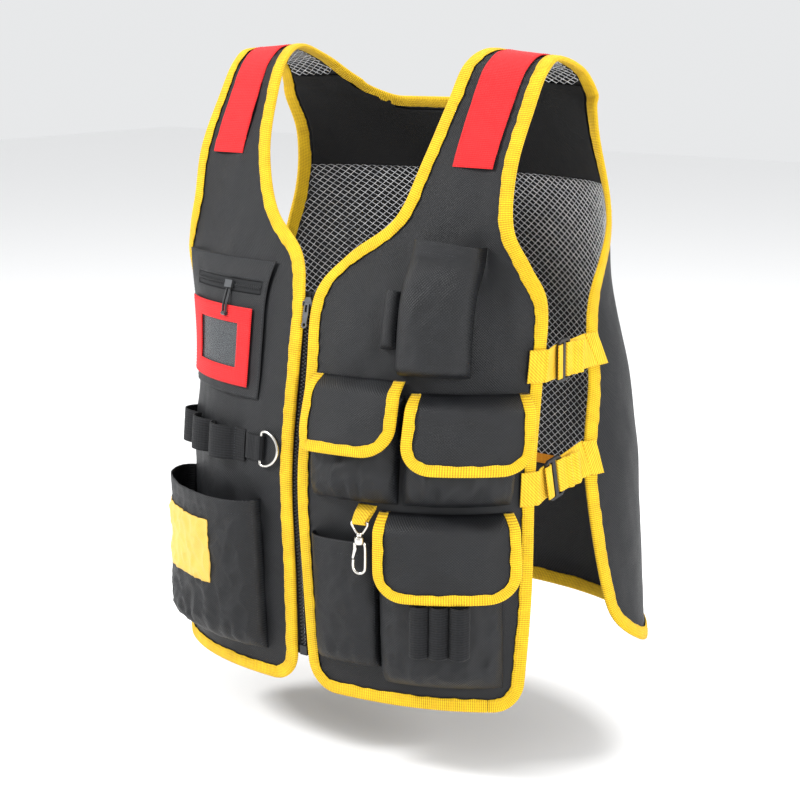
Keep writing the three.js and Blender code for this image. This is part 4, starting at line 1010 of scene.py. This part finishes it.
for name, flap in FLAPS.items():
    lift = flap_lift(flap, POCKETS[FLAP_POCKETS[name]])

    def flap_place(a, b, flap=flap, lift=lift):
        p = mix(flap["foot"], flap["top"], b ** 1.3)
        left, right = flap_edges(flap, p)
        s = mix(left, right, a)
        calm = np.sin(a * np.pi) ** 0.7 * np.clip((p - flap["foot"]) / 18, 0, 1)
        folds = 1.5 * waves(s / 14, p / 16, flap["foot"] % 7) + 0.6 * creases(s / 17, p / 15, 2)
        return p, s, lift(p, s) + calm * folds

    piece = shaped_sheet(f"{name}_cloth", 56, 40, flap_place, 1.1, black_cloth)
    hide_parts(name)
    radius = flap["corner"]
    turns = np.radians(np.linspace(0, 90, 12))
    up = [(flap["foot"] + radius * (1 - math.cos(t)), radius * (1 - math.sin(t))) for t in turns]
    left_side = [(p, flap["left"] + cut * flap["lean"]) for p, cut in up] + [(flap["top"], flap["left"])]
    right_side = [(p, flap["right"] - cut) for p, cut in up] + [(flap["top"], flap["right"])]
    line = left_side[::-1] + right_side
    tape = folded_tape(f"{name}_tape", line, -1, yellow_tape, 8.5 / 11, lift)
    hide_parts(f"{name}_binding")
    sewn_row(f"{name}_tape_thread", inset_line(line, -1, 7), 2.45, 2.0, 3.0, yellow_thread, 0.5, lift)

# ELASTIC LOOPS
# A ribbed black elastic band is sewn down at intervals across the wearer's right front, and a wider one on
# the cargo pocket; between their stitch lines they stand off as loops for tools.
elastic = ribbed("elastic", linear(4, 4, 5), linear(30, 31, 34), 0.0022, 0.9, 0.0, 0.85, across_ribs=True)


def loop_band(name, rows, stitches, stands, under, node):
    widths = []
    lifts = []
    for k, stand in enumerate(stands):
        for m in np.arange(14) / 14:
            widths.append(mix(stitches[k], stitches[k + 1], m))
            lifts.append(stand * math.sin(m * math.pi) ** 0.7)
    widths.append(stitches[-1])
    lifts.append(0)
    widths = np.array(widths)
    lifts = np.array(lifts)

    def place(a, b):
        k = np.rint(a * (len(widths) - 1)).astype(int)
        s = widths[k]
        p = mix(rows[0], rows[1], b)
        return p, s, under(p, s) + 0.65 + lifts[k] + 0.2 * waves(p / 3, s / 9, 1)

    piece = shaped_sheet(name, len(widths) - 1, 20, place, 1.1, elastic)
    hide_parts(node)
    return piece


def on_front(p, s):
    return np.full_like(p, 1.2)


def on_cargo(p, s):
    return pocket_lift(p, s, POCKETS["cargo_pocket"]) + 0.9


TOOL_STITCHES = [-203, -190, -152, -114, -76, -62]
tool_band = loop_band("band_tools", (203, 233), TOOL_STITCHES, [0, 12, 12, 12, 0], on_front, "tool_loops")
cargo_band = loop_band("band_cargo", (57, 103), [121, 136.5, 152, 168], [7, 8, 10], on_cargo, "cargo_loops")
for s in TOOL_STITCHES[1:-1]:
    sewn_row(f"thread_tools_{-s}", [(204, s), (232, s)], 2.7, 1.9, 2.6, black_thread, 0.6)

# D-RING
# A ring of round steel wire with one straight side hangs on the wearer's right front. A folded black tab
# holds its straight side.


def frame_on(p, s, h):
    """A frame on the cloth: across, up and outwards, with its middle."""
    x = cloth(p, s + 1, h) - cloth(p, s - 1, h)
    y = cloth(p + 1, s, h) - cloth(p - 1, s, h)
    x = x / np.linalg.norm(x)
    z = np.cross(x, y / np.linalg.norm(y))
    z /= np.linalg.norm(z)
    return x, np.cross(z, x), z, cloth(p, s, h)


def rounded(points, per, closed):
    """A smooth closed or open line through the points."""
    points = np.asarray(points, float)
    count = len(points)
    out = []
    for i in range(count if closed else count - 1):
        near = [(i + k) % count if closed else min(max(i + k, 0), count - 1) for k in (-1, 0, 1, 2)]
        a, b, c, d = points[near]
        for t in np.arange(per) / per:
            bend = (2 * a - 5 * b + 4 * c - d) * t ** 2 + (3 * b - a - 3 * c + d) * t ** 3
            out.append(0.5 * (2 * b + (c - a) * t + bend))
    if not closed:
        out.append(points[-1])
    return np.array(out)


ring_x, ring_y, ring_z, ring_middle = frame_on(219, -40, 2.9)
ring_route = [(0, y) for y in (-12.6, -6, 0, 6, 12.6)] + [(0.9, 15.2)]
ring_route += [(2.5 + 19 * math.cos(t), 16 * math.sin(t)) for t in np.radians(np.linspace(82, -82, 15))]
ring_route += [(0.9, -15.2)]
ring_points = [ring_middle + ring_x * x + ring_y * y for x, y in ring_route]
ring = wire("ring", ring_points, 1.4, steel.material, True, 4)
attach(ring, "ring")
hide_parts("d_ring")

# RING TAB AND HOOK TAB
# The ring's tab is black elastic webbing folded over its straight side; the snap hook's tab is a narrow
# fold of the yellow webbing. Both are sewn down behind.


def strip_between(name, left, right, wall, material, columns, ripple=None):
    """A band between two rows of points that are its edges, in millimetres."""
    left = np.asarray(left, float)
    right = np.asarray(right, float)
    shape, shares = flat_grid(columns, len(left) - 1)
    i = np.rint(shares[:, 1] * (len(left) - 1)).astype(int)
    a = shares[:, 0]
    points = left[i] + (right[i] - left[i]) * a[:, None]
    middle = (left + right) / 2
    at = np.concatenate([[0], np.cumsum(np.linalg.norm(np.diff(middle, axis=0), axis=1))])
    width = float(np.mean(np.linalg.norm(right - left, axis=1)))
    if ripple is not None:
        points = points + ripple(a, at[i], i)
    lay_out(shape, points, np.stack([a * width, at[i]], axis=-1))
    return finish_sheet(name, shape, wall, material)


tab_arc = [(2.45 * math.sin(t), -2.45 * math.cos(t)) for t in np.linspace(0, math.pi, 9)]
tab_line = [(-20, -2.3), (-10, -2.4), (-4, -2.45)] + tab_arc + [(-4, 1.5), (-8, 0.2), (-19.5, -1.0)]
tab_route = rounded(tab_line, 3, False)
tab_left = [ring_middle + ring_x * x + ring_z * z - ring_y * 11 for x, z in tab_route]
tab_right = [ring_middle + ring_x * x + ring_z * z + ring_y * 11 for x, z in tab_route]
ring_tab = strip_between("ring_tab", tab_left, tab_right, 1.0, elastic, 14)
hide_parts("d_ring_tab")

# SNAP HOOK
# A small cast steel snap hook hangs from a wire eye by a swivel; a sprung gate closes its mouth. The eye
# and the bow are drawn wire, the barrel is turned.
hook_middle = cloth(173, 79, 18)
hook_across = surface(173, 80) - surface(173, 78)
hook_across[2] = 0
hook_across /= np.linalg.norm(hook_across)
hook_up = np.array([0.0, 0.0, 1.0])
hook_out = np.cross(hook_across, hook_up)
webbing = ribbed("yellow webbing", linear(190, 134, 8), linear(255, 216, 52), 0.003, 0.95, 1.0)
fold_arc = [(2.15 * math.sin(t), -2.15 * math.cos(t)) for t in np.linspace(0, math.pi * 5 / 6, 8)]
fold_line = [(-17.9, 10.2), (-4.2, -1.2), (-1.5, -2.1)] + fold_arc + [(-7, 6.9), (-17.7, 11.6)]
fold_route = rounded(fold_line, 4, False)


def tab_edge(way):
    edge = []
    for out, up in fold_route:
        half = 6 * (1 + 0.045 * max(up, 0))
        edge.append(hook_middle + hook_out * out + hook_up * up + hook_across * way * half)
    return edge


hook_tab = strip_between("hook_tab_webbing", tab_edge(-1), tab_edge(1), 0.95, webbing, 10)
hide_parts("hook_tab")
eye_route = [(-6, 0), (0, 0), (6, 0), (7.4, -0.7), (7.7, -2.2), (7, -4), (3.2, -9.6), (0, -10.8)]
eye_route += [(-3.2, -9.6), (-7, -4), (-7.7, -2.2), (-7.4, -0.7)]
eye_points = [hook_middle + hook_across * x + hook_up * y for x, y in rounded(eye_route, 4, True)]
eye = wire("eye", eye_points, 1.1, steel.material, True)
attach(eye, "eye")


def turned(name, profile, material, body):
    """A turned piece round the hook's upright line: its profile in radius and height, spun once round."""
    shape = bmesh.new()
    base = hook_middle * MM
    verts = [shape.verts.new(Vector(base + (hook_across * r + hook_up * y) * MM)) for r, y in profile]
    edges = [shape.edges.new(pair) for pair in zip(verts[:-1], verts[1:])]
    upright = Vector((0, 0, 1))
    bmesh.ops.spin(shape, geom=verts + edges, cent=Vector(base), axis=upright, angle=2 * math.pi, steps=28)
    bmesh.ops.remove_doubles(shape, verts=shape.verts, dist=1e-6)
    bmesh.ops.recalc_face_normals(shape, faces=shape.faces)
    piece = finish_sheet(name, shape, 0, material)
    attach(piece, body)
    return piece


PIN_PROFILE = [(0, -9.5), (2.6, -9.5), (2.9, -9.9), (2.9, -12.7), (2.6, -13), (1.2, -13), (1.2, -17),
               (2.4, -17), (2.4, -18.4), (0, -18.4)]
turned("eye_pin", PIN_PROFILE, steel.material, "eye")
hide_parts("hook_eye")
BARREL_PROFILE = [(1.6, -13.3), (1.6, -14.9), (3, -14.9), (3, -20), (4.1, -20), (4.4, -19.7), (4.8, -18),
                  (4.8, -14.4), (4.5, -13.6), (4, -13.3), (1.6, -13.3)]
turned("hook_barrel", BARREL_PROFILE, steel.material, "hook")
bow_route = [(4.1, -18.6), (5.3, -22), (5.5, -30), (5.3, -41)]
bow_turns = np.radians(np.linspace(30, 180, 6))
bow_route += [(-0.5 + 5.8 * math.cos(t), -41 - 5.6 * math.sin(t)) for t in bow_turns]
bow_route += [(-6.4, -38), (-6.2, -34.4)]
bow_points = [hook_middle + hook_across * x + hook_up * y for x, y in rounded(bow_route, 4, False)]
bow = wire("hook_bow", bow_points, 1.35, steel.material)
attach(bow, "hook")
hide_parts("snap_hook")
cheeks = bmesh.new()
hook_turn = Matrix((Vector(hook_across), Vector(hook_up), Vector(hook_out))).transposed().to_4x4()
for z in (-1.8, 1.8):
    spot = Vector((hook_middle + hook_across * -3.8 + hook_up * -21.4 + hook_out * z) * MM)
    size = Matrix.Diagonal((2.6 * MM, 5 * MM, 0.8 * MM, 1))
    bmesh.ops.create_cube(cheeks, size=1, matrix=Matrix.Translation(spot) @ hook_turn @ size)
spot = Vector((hook_middle + hook_across * -3.8 + hook_up * -22.4) * MM)
bmesh.ops.create_cone(cheeks, cap_ends=True, segments=16, radius1=0.7 * MM, radius2=0.7 * MM, depth=4.8 * MM,
                      matrix=Matrix.Translation(spot) @ hook_turn)
cheek_piece = finish_sheet("hook_cheeks", cheeks, 0, steel.material)
cheek_piece.data.polygons.foreach_set("use_smooth", [False] * len(cheek_piece.data.polygons))
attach(cheek_piece, "hook")
dress_node("hook_gate", steel.material, 0.2)

# SIDE STRAPS
# Two straps of yellow twilled webbing close each side. The front one is sewn over the front's binding and
# held in a moulded black slider; the back one runs through it and its tail folds back outside in waves.
WEB_WIDTH = 30
STRAPS = (("upper", 309, 985, 0.36), ("lower", 199, 1080, 0.34))
SLIDER_BAR = 8.4
WEB_CLEAR = 2.3
for strap, front_p, back_p, share in STRAPS:
    for label, sign in (("left", 1), ("right", -1)):
        front_edge = float(outer_edge(front_p))
        back_edge = float(outer_edge(back_p))

        def on_cloth(p, s, up):
            return [cloth(p + up * way * WEB_WIDTH / 2, s, 4.2) for way in (-1, 1)]

        front_rows = [on_cloth(front_p, sign * (front_edge - inset), 1) for inset in (15, 8, 0, -2.5)]
        back_rows = [on_cloth(back_p, sign * (back_edge - inset), -1) for inset in (14, 7, 0, -2.5)]
        start = (front_rows[-1][0] + front_rows[-1][1]) / 2
        end = (back_rows[-1][0] + back_rows[-1][1]) / 2
        along = end - start
        span = float(np.linalg.norm(along))
        along /= span
        upright = np.array([0, 0, 1.0]) - along * along[2]
        upright /= np.linalg.norm(upright)
        out = np.cross(along, upright) * sign
        middle = span * share

        def rows_at(t, n, start=start, along=along, out=out, upright=upright):
            centre = start + along * t + out * n
            return [centre + upright * way * WEB_WIDTH / 2 for way in (-1, 1)]

        def loop_round(way, middle=middle, rows_at=rows_at):
            bar = middle + way * SLIDER_BAR
            inside = bar - way * 3.6
            low = [(bar + way * 6, -WEB_CLEAR), (bar, -WEB_CLEAR), (inside + way * 0.5, -WEB_CLEAR + 0.7)]
            places = low + [(inside, 0)] + [(t, -n) for t, n in low[::-1]]
            return [rows_at(t, n) for t, n in places]

        tail_start = middle + SLIDER_BAR + 6
        tail_waves = ((4, 3), (8, 1.6), (13, 4), (18, 2.4))
        tail = [rows_at(tail_start + t, WEB_CLEAR + n) for t, n in tail_waves]
        for part, rows, node in (("front", front_rows + loop_round(-1), f"{strap}_front_web_{label}"),
                                 ("back", back_rows + loop_round(1) + tail, f"{strap}_back_web_{label}")):
            low = rounded([row[0] for row in rows], 6, False)
            high = rounded([row[1] for row in rows], 6, False)

            def ripple(a, at, i, out=out):
                return out * (0.35 * waves(at / 5, a * 3, 1.4))[:, None]

            web = strip_between(f"strap_{strap}_{part}_{label}", low, high, 1.15, webbing, 16, ripple)
            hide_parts(node)
        dress_node(f"{strap}_slider_{label}", black_plastic.material, 0.5)

# FLOOR AND LIGHT
# A plain pale flat ground, three soft lamps and an even sky; the camera stands where the photograph was taken
# from.
floor_finish = Finish("ground", (0.93, 0.93, 0.93), 0.9)
ground_shape = bmesh.new()
bmesh.ops.create_grid(ground_shape, x_segments=2, y_segments=2, size=6)
ground = finish_sheet("ground", ground_shape, 0, floor_finish.material)
ground.location = (0, 0, -0.64)
ground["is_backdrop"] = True
bpy.context.scene.view_settings.view_transform = "Standard"
world = bpy.data.worlds.new("studio")
bpy.context.scene.world = world
world.use_nodes = True
world.node_tree.nodes["Background"].inputs["Color"].default_value = (0.98, 0.99, 1, 1)
world.node_tree.nodes["Background"].inputs["Strength"].default_value = 0.82
for lamp_name, spot, power, size in (("key", (-1.6, -1.7, 1.5), 72, 0.7), ("fill", (2.6, -0.9, 0.5), 40, 0.8),
                                     ("top", (0.5, 1.0, 2.2), 44, 1.0)):
    light = bpy.data.lights.new(lamp_name, "AREA")
    light.energy = power
    light.size = size
    lamp = bpy.data.objects.new(lamp_name, light)
    lamp.location = spot
    lamp.rotation_euler = (Vector((0, 0, -0.3)) - Vector(spot)).to_track_quat("-Z", "Y").to_euler()
    bpy.context.scene.collection.objects.link(lamp)
# The camera's angles, distance and target come from the same fit as LEVELS.
azimuth = math.radians(37.19)
elevation = math.radians(11.56)
target = Vector((-0.00255, 0.015, -0.3278))
level_way = math.cos(elevation)
back_way = Vector((math.sin(azimuth) * level_way, -math.cos(azimuth) * level_way, math.sin(elevation)))
view = bpy.data.cameras.new("camera")
view.lens = 91.4
view.sensor_width = 36
camera = bpy.data.objects.new("camera", view)
camera.location = target + back_way * 1.9369
camera.rotation_euler = (-back_way).to_track_quat("-Z", "Y").to_euler()
bpy.context.scene.collection.objects.link(camera)
bpy.context.scene.camera = camera

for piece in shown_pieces():
    if not body_of(piece):
        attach(piece, "vest")
